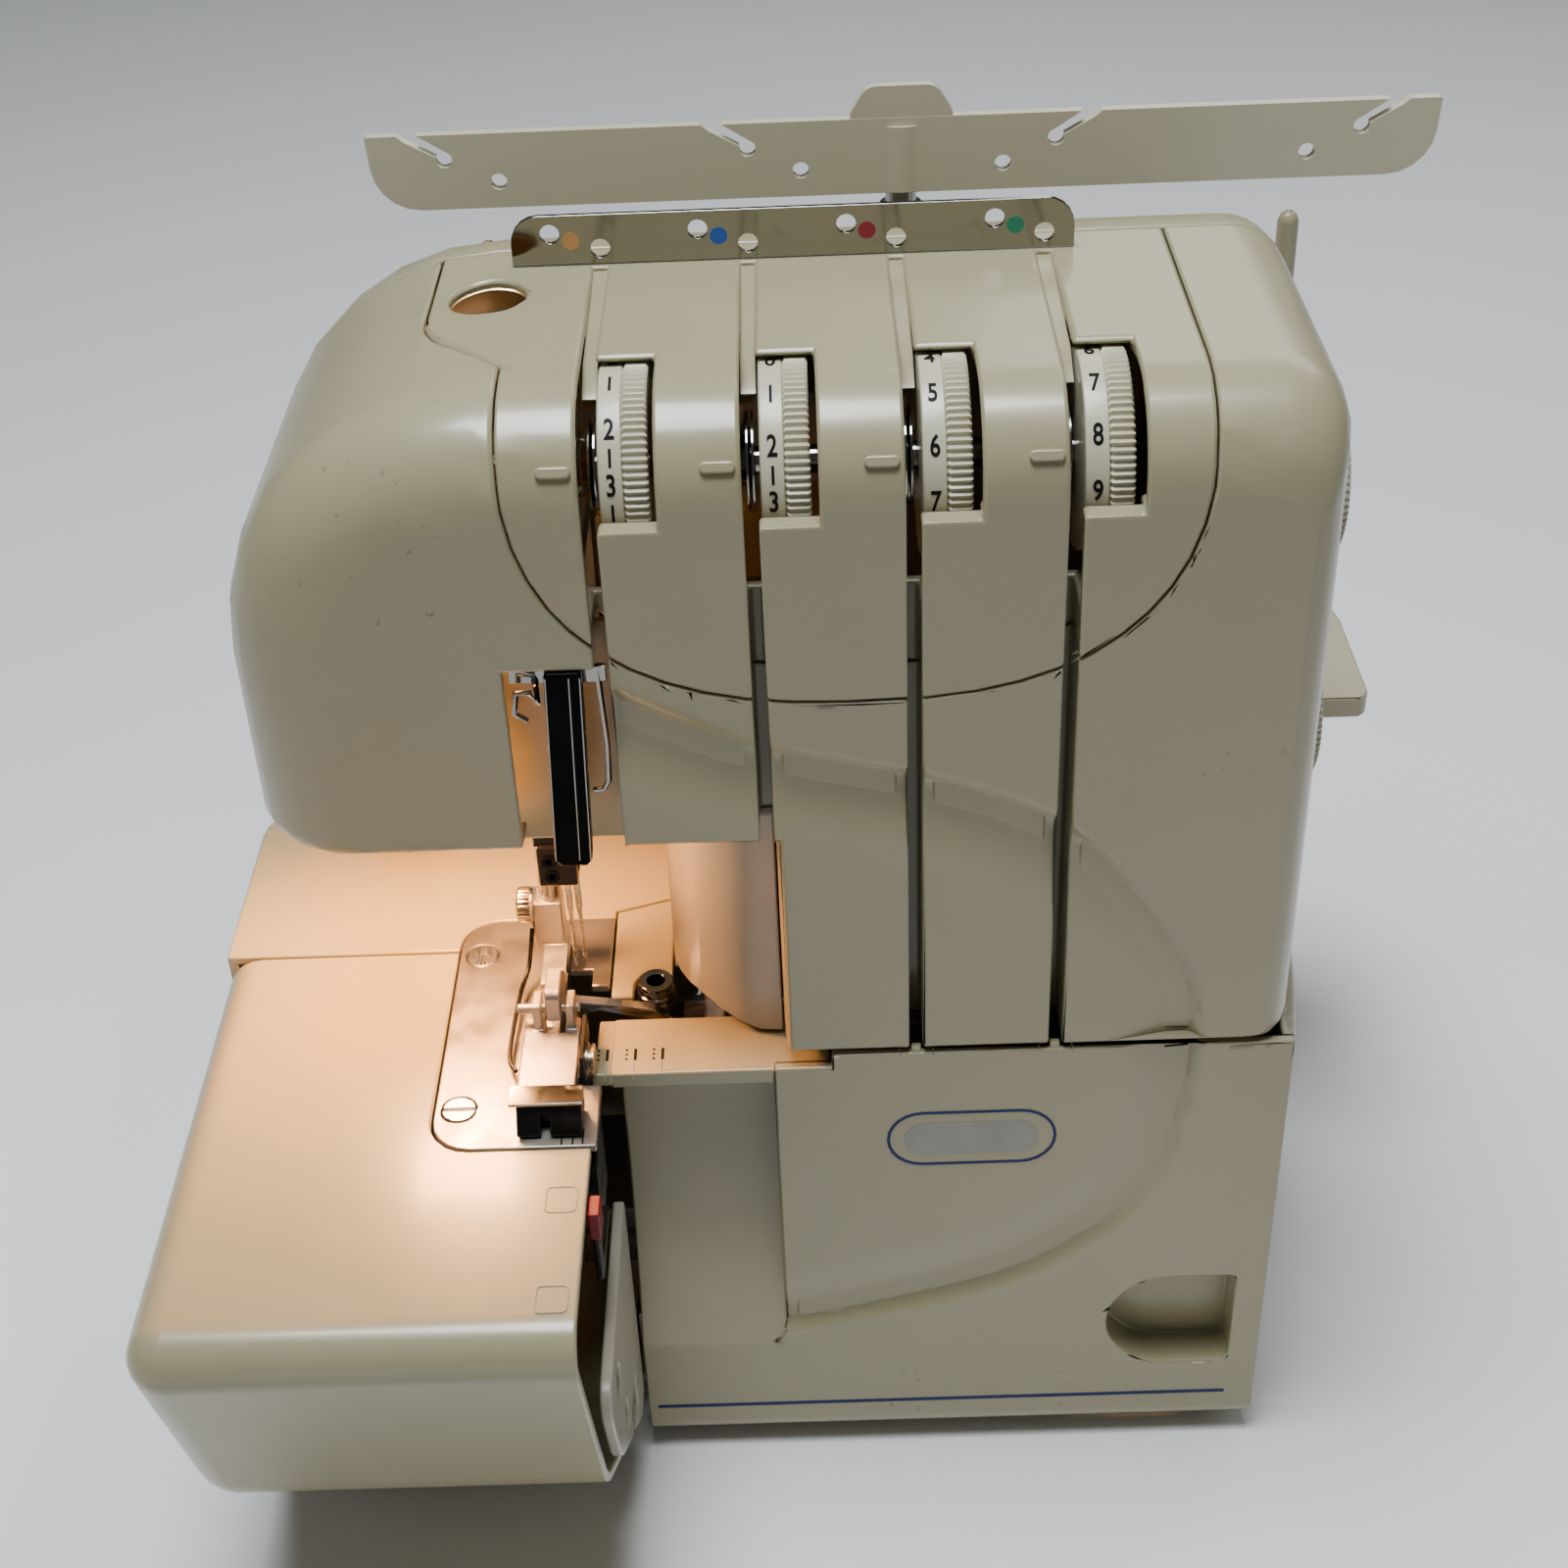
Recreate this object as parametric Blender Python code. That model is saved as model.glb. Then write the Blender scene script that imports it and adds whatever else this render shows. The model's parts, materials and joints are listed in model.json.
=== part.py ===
"""Four-thread serger (overlock) sewing machine, built as separate solid pieces.

X runs to the right of a person sitting at the machine, Y away from them, Z up.
The origin is on the floor under the middle of the machine. Every size below is in
millimetres; add() scales a finished solid to Blender's metres.
"""

import math

import bmesh
import bpy
from mathutils import Matrix, Vector

MM = 0.001
GAP = 0.3                      # clearance between neighbouring pieces
WALL = 2.5                     # thickness of the moulded covers

# Upper housing: the head on the left and the column on the right
FRONT_Y = -45.0
SEAM_Y = 38.0                  # joint between the front covers and the rear cover
BACK_Y = 64.0
HEAD_LEFT = -121.5
HEAD_BOTTOM = 193.0
HEAD_TOP_RADIUS = 55.0
COLUMN_LEFT = -12.0
RIGHT_X = 102.5
HOUSING_BOTTOM = 134.0
TOP_Z = 292.0
SHOULDER = 20.0                # rounding from the front face over to the top
SIDE_ROUNDING = 8.0
REAR_ROUNDING = 24.0

# Tension dials and the thread slots beside them
SLOT_PITCH = 31.0
SLOT_RIGHT = [-43.0 + SLOT_PITCH * i for i in range(4)]
SLOT_WIDTH = 3.0
SLOT_FLOOR_Y = -31.0
SLOT_FLOOR_Z = 276.0
DIAL_Y, DIAL_Z = -19.0, 269.7
DIAL_RADIUS = 20.5
DIAL_WIDTH = 9.7
DIAL_OPENING = 11.6
DIAL_LEDGE_Z = 268.6             # lower edge of the openings that the dials show through
DIAL_OPENING_BACK = -16.0
SIDE_DIAL_Z = (253.0, 196.0)

# Bed, needle plate and swinging covers
BED_Z = 130.0
BED_LEFT = -147.0
BED_SEAM_Y = 0.4
BLOCK_FRONT_Y = -127.0
BLOCK_RIGHT = -54.5
LOOPER_COVER_LEFT = -50.8
LOOPER_COVER_TOP = HOUSING_BOTTOM - 0.5
LOOPER_COVER_BOTTOM = 5.0
COVER_HINGE_Y, COVER_HINGE_Z = -41.0, 15.0
SIDE_HINGE_X, SIDE_HINGE_Y = -144.8, -1.6
PLATE_X = (-90.0, -53.3)
PLATE_Y = (-67.3, 11.4)
PLATE_CORNER = 9.0

# Drive
SHAFT_Y, SHAFT_Z = 35.0, 78.0
MOTOR_Y, MOTOR_Z = -6.0, 48.0
WHEEL_RADIUS = 28.0
NEEDLE_BAR = (-61.0, -12.0)
PRESSER_BAR = (-66.2, -3.4)
FOOT_X = -64.5
FOOT_PIN_Y, FOOT_PIN_Z = -30.0, 137.5
THREAD_TUBE = (-42.3, -14.4)

# Spool stand and telescopic thread guide
STAND_TOP = 150.0
PIN_X = [-77.0 + 63.7 * i for i in range(4)]
PIN_Y = 95.0
POLE_X, POLE_Y = 22.0, 101.0
GUIDE_BAR_X = (-103.0, 147.0)
GUIDE_PLATE_Y = 29.0
STAND_BACK_Y = 123.3

FINISHES = {
    "cream": ((0.80, 0.78, 0.70), 0.35, 0.0),
    "white": ((0.82, 0.82, 0.80), 0.40, 0.0),
    "black": ((0.02, 0.02, 0.02), 0.35, 0.0),
    "steel": ((0.55, 0.54, 0.52), 0.35, 1.0),
    "chrome": ((0.85, 0.85, 0.86), 0.08, 1.0),
    "aluminium": ((0.62, 0.63, 0.64), 0.50, 1.0),
    "rubber": ((0.05, 0.05, 0.05), 0.85, 0.0),
    "red": ((0.60, 0.03, 0.06), 0.40, 0.0),
    "copper": ((0.45, 0.22, 0.12), 0.50, 1.0),
    "bulb": ((1.00, 0.85, 0.62), 0.15, 0.0),
}


# ---------------------------------------------------------------- helpers

def material(finish):
    """One Principled material for each finish."""
    found = bpy.data.materials.get(finish)
    if found:
        return found
    colour, roughness, metallic = FINISHES[finish]
    made = bpy.data.materials.new(finish)
    made.use_nodes = True
    shader = made.node_tree.nodes["Principled BSDF"]
    shader.inputs["Base Color"].default_value = (*colour, 1.0)
    shader.inputs["Roughness"].default_value = roughness
    shader.inputs["Metallic"].default_value = metallic
    return made


def to_mesh(name, solid, pivot):
    solid.normal_update()
    bmesh.ops.transform(solid, matrix=Matrix.Scale(MM, 4) @ Matrix.Translation(-pivot), verts=solid.verts)
    mesh = bpy.data.meshes.new(name)
    solid.to_mesh(mesh)
    solid.free()
    return mesh


def add(name, solid, finish, pivot=(0, 0, 0)):
    """Turn a solid into a named object whose origin is at pivot."""
    pivot = Vector(pivot)
    mesh = to_mesh(name, solid, pivot)
    mesh.materials.append(material(finish))
    mesh.shade_smooth()
    mesh.set_sharp_from_angle(angle=math.radians(35))
    made = bpy.data.objects.new(name, mesh)
    made.location = pivot * MM
    bpy.context.scene.collection.objects.link(made)
    return made


def tool(name, *solids):
    """A hidden cutter, made of solids that don't touch each other."""
    mesh = to_mesh(name, together(*solids), Vector((0, 0, 0)))
    made = bpy.data.objects.new(name, mesh)
    made.hide_render = True
    made.display_type = "WIRE"
    bpy.context.scene.collection.objects.link(made)
    return made


def combine(target, cutter, operation="DIFFERENCE"):
    modifier = target.modifiers.new(cutter.name, "BOOLEAN")
    modifier.operation = operation
    modifier.solver = "EXACT"
    modifier.object = cutter


def cut(target, *solids):
    count = len(target.modifiers)
    combine(target, tool(f"cut_{target.name}_{count}", *solids))


def fuse(target, *solids):
    count = len(target.modifiers)
    combine(target, tool(f"fuse_{target.name}_{count}", *solids), "UNION")


def together(*solids):
    """Several solids in one bmesh, still as separate bodies."""
    whole = bmesh.new()
    for solid in solids:
        mesh = bpy.data.meshes.new("piece")
        solid.to_mesh(mesh)
        solid.free()
        whole.from_mesh(mesh)
        bpy.data.meshes.remove(mesh)
    return whole


def loft(rings, closed=False):
    """Skin a row of rings. It is capped at both ends, or joined end to start if closed."""
    solid = bmesh.new()
    rows = [[solid.verts.new(point) for point in ring] for ring in rings]
    pairs = list(zip(rows, rows[1:]))
    if closed:
        pairs.append((rows[-1], rows[0]))
    count = len(rows[0])
    for first, second in pairs:
        for i in range(count):
            j = (i + 1) % count
            solid.faces.new((first[i], first[j], second[j], second[i]))
    if not closed:
        solid.faces.new(rows[0])
        solid.faces.new(rows[-1])
    bmesh.ops.recalc_face_normals(solid, faces=solid.faces)
    return solid


def along(axis, u, v, w):
    """A point from its two cross coordinates and its place along the axis."""
    if axis == "X":
        return (w, u, v)
    if axis == "Y":
        return (u, w, v)
    return (u, v, w)


def prism(outline, axis, low, high):
    return loft([[along(axis, u, v, w) for u, v in outline] for w in (low, high)])


def box(low, high):
    outline = [(low[0], low[1]), (high[0], low[1]), (high[0], high[1]), (low[0], high[1])]
    return prism(outline, "Z", low[2], high[2])


def turned(profile, axis, centre, segments=32, bore=False):
    """Revolve (radius, along) points about an axis through centre, a (u, v) pair."""
    rings = []
    for radius, place in profile:
        ring = []
        for i in range(segments):
            angle = math.tau * i / segments
            u = centre[0] + radius * math.cos(angle)
            v = centre[1] + radius * math.sin(angle)
            ring.append(along(axis, u, v, place))
        rings.append(ring)
    return loft(rings, closed=bore)


def disc(axis, centre, radius, low, high, segments=32):
    return turned([(radius, low), (radius, high)], axis, centre, segments)


def tube(axis, centre, inner, outer, low, high, segments=32):
    profile = [(outer, low), (outer, high), (inner, high), (inner, low)]
    return turned(profile, axis, centre, segments, bore=True)


def wire(points, radius, segments=8):
    """A round wire through the points, with flat ends."""
    points = [Vector(p) for p in points]
    rings = []
    side = None
    for i, point in enumerate(points):
        before = points[max(i - 1, 0)]
        after = points[min(i + 1, len(points) - 1)]
        heading = (after - before).normalized()
        if side is None:
            side = heading.orthogonal().normalized()
        side = (side - heading * side.dot(heading)).normalized()
        other = heading.cross(side)
        turns = [math.tau * k / segments for k in range(segments)]
        rings.append([point + radius * (math.cos(t) * side + math.sin(t) * other) for t in turns])
    return loft(rings)


def fillet(corners, steps=5):
    """An outline from (u, v, radius) corners; each round corner becomes an arc."""
    outline = []
    count = len(corners)
    for i, (u, v, radius) in enumerate(corners):
        corner = Vector((u, v))
        if radius <= 0:
            outline.append((u, v))
            continue
        back = (Vector(corners[i - 1][:2]) - corner).normalized()
        ahead = (Vector(corners[(i + 1) % count][:2]) - corner).normalized()
        half = back.angle(ahead) / 2
        middle = (back + ahead).normalized()
        centre = corner + middle * (radius / math.sin(half))
        start = corner + back * (radius / math.tan(half)) - centre
        sweep = start.angle_signed(corner + ahead * (radius / math.tan(half)) - centre)
        for k in range(steps + 1):
            spun = start.copy()
            spun.rotate(Matrix.Rotation(-sweep * k / steps, 2))
            outline.append(tuple(centre + spun))
    return outline


def shrink(corners, insets):
    """Move each edge of a convex (u, v, radius) outline inwards by its own inset."""
    count = len(corners)
    middle = sum((Vector(c[:2]) for c in corners), Vector((0, 0))) / count
    lines = []
    for i in range(count):
        start = Vector(corners[i][:2])
        heading = (Vector(corners[(i + 1) % count][:2]) - start).normalized()
        inwards = Vector((-heading.y, heading.x))
        if inwards.dot(middle - start) < 0:
            inwards.negate()
        lines.append((start + inwards * insets[i], heading))
    moved = []
    for i, (_, _, radius) in enumerate(corners):
        (p, d), (q, e) = lines[i - 1], lines[i]
        t = ((q - p).cross(e)) / d.cross(e)
        point = p + d * t
        less = min(insets[i - 1], insets[i])
        moved.append((point.x, point.y, max(radius - less, 0.5) if radius else 0))
    return moved


# ---------------------------------------------------------------- upper housing

def housing_ring(y, top, left, right, bottom):
    """The housing seen from the front, at depth y, with its edges moved inwards."""
    step = COLUMN_LEFT + min(bottom, WALL)
    head_z = HEAD_BOTTOM + bottom
    low_z = HOUSING_BOTTOM + bottom
    top_z = TOP_Z - top
    left_x = HEAD_LEFT + left
    right_x = RIGHT_X - right
    outline = [(step, head_z), (step, low_z)]
    outline += fillet([(step, low_z, 0), (right_x, low_z, 3), (right_x, top_z, 14 - 0.5 * right),
                       (left_x, top_z, HEAD_TOP_RADIUS - left), (left_x, head_z, 5), (step, head_z, 0)],
                      steps=7)[1:-1]
    return [(u, y, v) for u, v in outline]


def housing_shell(open_y, closed_y, rounding):
    """A cup with the housing's outline: closed and rounded at closed_y, open at open_y."""
    inwards = 1 if open_y > closed_y else -1
    steps = 5
    outer = []
    inner = []
    for i in range(steps + 1):
        angle = math.radians(90) * i / steps
        depth = 1 - math.cos(angle)
        short = 1 - math.sin(angle)
        y = closed_y + inwards * rounding * depth
        outer.append(housing_ring(y, rounding * short, rounding * short, SIDE_ROUNDING * short, 1.5 * short))
        core = rounding - WALL
        y = closed_y + inwards * (WALL + core * depth)
        narrow = WALL + (SIDE_ROUNDING - WALL) * short
        inner.append(housing_ring(y, WALL + core * short, WALL + core * short, narrow, WALL))
    outer.append(housing_ring(open_y, 0, 0, 0, 0))
    inner.append(housing_ring(open_y, WALL, WALL, WALL, WALL))
    return loft(outer + inner[::-1])


def panel_outline(grow):
    """The tension panel seen from the front: a full-bellied U, as a superellipse."""
    centre_x, centre_z = 6.7, 285.0
    half, drop, power = 68.0 + grow, 56.5 + grow, 2.5
    steps = 24
    outline = [(centre_x + half, TOP_Z + 10)]
    for i in range(steps + 1):
        angle = -math.pi * i / steps
        u = math.copysign(abs(math.cos(angle)) ** (2 / power), math.cos(angle))
        v = abs(math.sin(angle)) ** (2 / power)
        outline.append((centre_x + half * u, centre_z - drop * v))
    outline.append((centre_x - half, TOP_Z + 10))
    return outline


def panel_tool(name, grow):
    """The space that the tension panel takes out of the front housing."""
    made = tool(name, prism(panel_outline(grow), "Y", FRONT_Y - 15, SEAM_Y + 10))
    bulge = fillet([(-50, SEAM_Y + 8, 0), (-79 - grow, SEAM_Y + 8, 0), (-79 - grow, 0 - grow, 18),
                    (-56, -24 - grow, 0), (-50, -24 - grow, 0)])
    fuse(made, prism(bulge, "Z", 262, TOP_Z + 9))
    return made


def slots(low_z):
    """Cutters for the four thread slots, down the front and back over the top."""
    end_y = GUIDE_PLATE_Y - 1
    outline = [(FRONT_Y - 8, low_z), (SLOT_FLOOR_Y, low_z), (SLOT_FLOOR_Y, SLOT_FLOOR_Z),
               (end_y, SLOT_FLOOR_Z), (end_y, TOP_Z + 8), (FRONT_Y - 8, TOP_Z + 8)]
    return [prism(outline, "X", right - SLOT_WIDTH, right) for right in SLOT_RIGHT]


def slot_walls(low_z, high_z, rights):
    """Solid bars behind the slots, which become U-shaped channels when the slots are cut."""
    return [box((right - SLOT_WIDTH - 2.2, FRONT_Y + 1, low_z), (right + 2.2, SLOT_FLOOR_Y + 2.4, high_z))
            for right in rights]


def make_tension_panel():
    panel = add("tension_panel", housing_shell(SEAM_Y, FRONT_Y, SHOULDER), "cream")
    fuse(panel, *slot_walls(206, 248, SLOT_RIGHT))
    fuse(panel, *[box((right - SLOT_WIDTH - 2.2, -2, SLOT_FLOOR_Z - 2.4), (right + 2.2, SEAM_Y - 1, TOP_Z - 1))
                  for right in SLOT_RIGHT])
    fuse(panel, *[box((right - 0.5, FRONT_Y + 1, DIAL_LEDGE_Z - 6), (right + DIAL_OPENING + 2, -36, DIAL_LEDGE_Z))
                  for right in SLOT_RIGHT])
    combine(panel, panel_tool("panel_space", 0.0), "INTERSECT")
    cut(panel, *slots(200))
    cut(panel, *[disc("X", (DIAL_Y, DIAL_Z), DIAL_RADIUS + 0.5, right - 1, right + DIAL_OPENING, 40)
                 for right in SLOT_RIGHT])
    cut(panel, *[box((right - 1, FRONT_Y - 6, DIAL_LEDGE_Z), (right + DIAL_OPENING, DIAL_OPENING_BACK, TOP_Z + 5))
                 for right in SLOT_RIGHT])
    cut(panel, disc("Z", (-67, 15), 8, 280, TOP_Z + 5, 28))


def make_front_cover():
    cover = add("front_cover", housing_shell(SEAM_Y, FRONT_Y, SHOULDER), "cream")
    fuse(cover, *slot_walls(HOUSING_BOTTOM + 0.7, 240, SLOT_RIGHT[2:]))
    fuse(cover, *slot_walls(HEAD_BOTTOM, 240, SLOT_RIGHT[1:2]))
    combine(cover, panel_tool("cover_space", 0.4))
    cut(cover, *slots(120))
    cut(cover, box((HEAD_LEFT - 5, FRONT_Y - 5, 120), (SLOT_RIGHT[0], SEAM_Y + 5, TOP_Z + 12)))
    cut(cover, box((-4, -26, HOUSING_BOTTOM - 6), (88, SEAM_Y + 6, HOUSING_BOTTOM + 6)))
    cut(cover, *[disc("X", (0, z), 6, RIGHT_X - 8, RIGHT_X + 3, 20) for z in SIDE_DIAL_Z])


def make_head_cover():
    cover = add("head_cover", housing_shell(SEAM_Y, FRONT_Y, SHOULDER), "cream")
    combine(cover, panel_tool("head_space", 0.4))
    cut(cover, box((SLOT_RIGHT[0] - SLOT_WIDTH, FRONT_Y - 5, 100), (RIGHT_X + 5, SEAM_Y + 5, TOP_Z + 12)))
    cut(cover, box((-64.5, FRONT_Y - 5, HEAD_BOTTOM - 4), (SLOT_RIGHT[0], -30, 238)))
    cut(cover, box((-75, -36, HEAD_BOTTOM - 5), (-40, 4, HEAD_BOTTOM + 5)))
    cut(cover, box((-114, -20, HEAD_BOTTOM - 5), (-82, 16, HEAD_BOTTOM + 5)))


def make_rear_cover():
    cover = add("rear_cover", housing_shell(SEAM_Y + GAP, BACK_Y, REAR_ROUNDING), "cream")
    cut(cover, box((-4, SEAM_Y - 3, HOUSING_BOTTOM - 6), (88, 59.5, HOUSING_BOTTOM + 6)))
    cut(cover, *[box((10 + 8 * i, BACK_Y - 8, 215), (13 + 8 * i, BACK_Y + 4, 250)) for i in range(6)])


# ---------------------------------------------------------------- bed and lower case

def make_lower_case():
    outer = fillet([(RIGHT_X, -33, 0), (RIGHT_X, BACK_Y, 10), (-37.4, BACK_Y, 0), (-37.4, BACK_Y - WALL, 0),
                    (RIGHT_X - WALL, BACK_Y - WALL, 10 - WALL), (RIGHT_X - WALL, -33, 0)])
    case = add("lower_case", prism(outer, "Z", 8.3, HOUSING_BOTTOM - GAP), "cream")
    cut(case, disc("X", (SHAFT_Y, SHAFT_Z), 9, RIGHT_X - 8, RIGHT_X + 4, 24))
    cut(case, box((RIGHT_X - 8, 21.7, 20.1), (RIGHT_X + 4, 54.3, 48.3)))
    cut(case, box((RIGHT_X - 8, -36, 5), (RIGHT_X + 4, -29.5, 19)))


def make_bed_cover():
    plan = fillet([(BED_LEFT, BED_SEAM_Y + 0.4, 0), (PLATE_X[0] - 0.4, BED_SEAM_Y + 0.4, 0),
                   (PLATE_X[0] - 0.4, PLATE_Y[1] + 0.4, PLATE_CORNER), (-53.1, PLATE_Y[1] + 0.4, 0),
                   (-53.1, 14, 0),
                   (-38, 19, 0), (-38, BACK_Y, 0), (BED_LEFT, BACK_Y, 14)])
    cover = add("bed_cover", prism(plan, "Z", 15, BED_Z), "cream")
    hollow = fillet([(BED_LEFT + WALL, -20, 0), (-20, -20, 0), (-20, BACK_Y - WALL, 0),
                     (BED_LEFT + WALL, BACK_Y - WALL, 14 - WALL)])
    cut(cover, prism(hollow, "Z", 5, BED_Z - WALL))


def make_bed_insert():
    plan = fillet([(-52.7, 13.6, 0), (-38.4, 18.4, 0), (-38.4, -18.2, 0), (-52.7, -18.2, 1)])
    insert = add("looper_access_plate", prism(plan, "Z", BED_Z - WALL, BED_Z), "cream")
    x, y = THREAD_TUBE
    cut(insert, disc("Z", THREAD_TUBE, 5.2, 120, 140, 24))
    cut(insert, box((x - 5.2, -25, 120), (x + 8, y, 140)))


def make_column_cover():
    plan = fillet([(-12.3, -33, 0), (-37.7, -33, 24), (-37.7, BACK_Y - 3, 0), (-35.2, BACK_Y - 3, 0),
                   (-35.2, -30.5, 21.5), (-12.3, -30.5, 0)], steps=8)
    cover = add("column_cover", prism(plan, "Z", BED_Z + 1.2, HEAD_BOTTOM - GAP), "white")
    arch = fillet([(-50, 120, 0), (-50, 137.6, 0), (-31, 137.2, 8), (-22, 132.8, 6), (-14, 130, 0), (-14, 120, 0)])
    cut(cover, prism(arch, "Y", -45, -9.5))


BLOCK_PROFILE = [(0.0, BED_Z, 0), (BLOCK_FRONT_Y, BED_Z, 9), (-101.5, 58, 32), (-57, 19, 8), (0.0, 19, 0)]


def block_ring(x, inset, rear):
    insets = [inset, inset, inset, inset, rear]
    return [(x, u, v) for u, v in fillet(shrink(BLOCK_PROFILE, insets), steps=5)]


def make_side_cover():
    rounding = 9.0
    steps = 5
    outer = []
    inner = []
    for i in range(steps + 1):
        angle = math.radians(90) * i / steps
        depth, short = 1 - math.cos(angle), 1 - math.sin(angle)
        outer.append(block_ring(BED_LEFT + rounding * depth, rounding * short, 0))
        core = rounding - WALL
        inner.append(block_ring(BED_LEFT + WALL + core * depth, WALL + core * short, -8))
    outer.append(block_ring(BLOCK_RIGHT, 0, 0))
    inner.append(block_ring(BLOCK_RIGHT + 8, WALL, -8))
    pivot = (SIDE_HINGE_X, SIDE_HINGE_Y, BED_Z / 2)
    cover = add("side_cover", loft(outer), "cream", pivot)
    cut(cover, loft(inner))
    recess = fillet([(PLATE_X[0] - 0.5, PLATE_Y[0] - 0.5, PLATE_CORNER), (BLOCK_RIGHT + 5, PLATE_Y[0] - 0.5, 0),
                     (BLOCK_RIGHT + 5, 12, 0), (PLATE_X[0] - 0.5, 12, 0)])
    cut(cover, prism(recess, "Z", BED_Z - 9, BED_Z + 5))
    chamfer = [(BED_LEFT - 4, 3), (BED_LEFT - 4, -5.5), (BED_LEFT + 3.5, 2), (BED_LEFT + 3.5, 3)]
    cut(cover, prism(chamfer, "Z", 0, BED_Z + 10))


def make_knife_side_panel():
    """The white wall that closes the right-hand end of the side cover."""
    inner = shrink(BLOCK_PROFILE, [0, 5.5, 5.5, 5.5, 0])
    profile = fillet([(-46, 91, 0), (inner[1][0] + 14, 91, 6), *inner[2:4], (-46, inner[3][1], 0)])
    panel = add("knife_side_panel", prism(profile, "X", -53.9, -51.3), "white")
    cut(panel, disc("X", (-90, 78), 5, -60, -45, 16), disc("X", (-82, 58), 4, -60, -45, 16),
        box((-60, -74, 36), (-45, -60, 48)))


def make_looper_cover():
    left = LOOPER_COVER_LEFT
    low, top = LOOPER_COVER_BOTTOM, LOOPER_COVER_TOP
    profile = fillet([(FRONT_Y, low, 5), (FRONT_Y, top, 0), (FRONT_Y + WALL, top, 0),
                      (FRONT_Y + WALL, low + WALL, 2.5), (-39, low + WALL, 0), (-39, low, 0)])
    pivot = (20, COVER_HINGE_Y, COVER_HINGE_Z)
    cover = add("looper_cover", prism(profile, "X", left, RIGHT_X - 0.2), "cream", pivot)
    fuse(cover, box((RIGHT_X - WALL - 0.2, FRONT_Y + 1, low + 4), (RIGHT_X - 0.6, -34.5, top - 0.2)))
    fuse(cover, box((left + 0.2, FRONT_Y + 1.1, 34), (-12, -27.5, 126.5)))
    cut(cover, box((left - 6, FRONT_Y - 4, BED_Z), (-1.5, -20, top + 6)))
    chute = tool("chute", prism(fillet([(-60, 140, 0), (-14.6, 140, 0), (-14.6, 38, 8), (-60, 34, 0)]), "Y",
                                FRONT_Y - 6, -20))
    floor = fillet([(FRONT_Y - 5, 140, 0), (-31.5, 140, 0), (-31.5, 112, 40), (-35, 78, 60), (-42, 50, 30),
                    (FRONT_Y, 39, 0), (FRONT_Y - 5, 38, 0)], steps=8)
    combine(chute, tool("chute_depth", prism(floor, "X", -70, -5)), "INTERSECT")
    combine(cover, chute)
    fuse(cover, box((-51.4, FRONT_Y + 0.2, 125.7), (-1.8, -26, BED_Z - 0.1)))
    fuse(cover, box((61, FRONT_Y + 1, 25), (97.5, -33.4, 61)))
    recess = fillet([(64, 27.5, 15.2), (95, 27.5, 3), (95, 58, 2), (64, 58, 15.2)], steps=7)
    cut(cover, prism(recess, "Y", FRONT_Y - 5, -35.5))
    cut(cover, disc("X", (COVER_HINGE_Y, COVER_HINGE_Z), 1.8, 70, 90, 12))
    right = RIGHT_X - 0.2
    turns = [math.radians(-90 * k / 5) for k in range(6)]
    corner = [(right - 4 + 4 * math.cos(t), low + 4 + 4 * math.sin(t)) for t in turns]
    corner = [(right + 2, low + 4), *corner, (right - 4, low - 2), (right + 2, low - 2)]
    cut(cover, prism(corner, "Y", FRONT_Y - 5, -20))


def make_looper_cover_hinge():
    """Sliding hinge rod and the bracket that carries it on the base plate."""
    rod = wire([(-42, COVER_HINGE_Y + 0.6, COVER_HINGE_Z), (93, COVER_HINGE_Y + 0.6, COVER_HINGE_Z)], 1.3, 10)
    add("cover_hinge_rod", rod, "steel")


# ---------------------------------------------------------------- base, frame and drive

def make_base():
    plan = fillet([(-132, -48, 8), (-58, -48, 4), (-54, -30, 4), (98, -30, 6), (98, 60, 8), (-132, 60, 8)])
    plate = add("base_plate", prism(plan, "Z", 8.3, 12), "steel")
    feet = [(-114, -36), (-114, 46), (80, -20), (80, 46)]
    cut(plate, *[disc("Z", foot, 2.3, 5, 20, 12) for foot in feet])
    profile = [(8.5, 0), (10.5, 1.5), (11, 8.0), (2.0, 8.0), (2.0, 11.5)]
    for number, foot in enumerate(feet, start=1):
        add(f"rubber_foot_{number}", turned(profile, "Z", foot, 20), "rubber")


def make_frame():
    frame = add("frame_casting", box((-128, 20, 12.3), (88, 58, 20)), "aluminium")
    fuse(frame, box((20, 46, 15), (74, 57, 262)))
    fuse(frame, box((-100, 48, 228), (60, 55, 252)))
    fuse(frame, box((-31.5, -18, 14), (-26, 52, 122)), box((79, -20, 14), (84.5, 52, 124)))
    fuse(frame, box((-88.5, 12, 14), (-80, 30, 124)))
    fuse(frame, box((-88, -64, 118), (-68, 18, 127.2)))
    fuse(frame, box((61.5, -26, 13), (66.0, 24, 74)))
    fuse(frame, box((-76, -38, 246), (-49, 50, 252)))
    fuse(frame, box((-76, 6, 204), (-49, 12, 250)))
    fuse(frame, box((-75.5, -30, 205), (-49.5, 10, 211)))
    fuse(frame, box((-74.5, -30.5, 186), (-43.2, -28, 240.5)))
    fuse(frame, box((-74.5, -30.5, 240), (-49.5, -28, 247)))
    for place in (NEEDLE_BAR, PRESSER_BAR):
        cut(frame, disc("Z", place, 3.8, 195, 260, 16))
    cut(frame, disc("X", (MOTOR_Y, MOTOR_Z), 8.4, 55, 68, 20))
    cut(frame, disc("X", (SHAFT_Y, SHAFT_Z), 5.4, -40, -20, 24), disc("X", (SHAFT_Y, SHAFT_Z), 5.4, 70, 90, 24))
    cut(frame, disc("X", (MOTOR_Y, MOTOR_Z), 9, 70, 90, 20))


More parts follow.
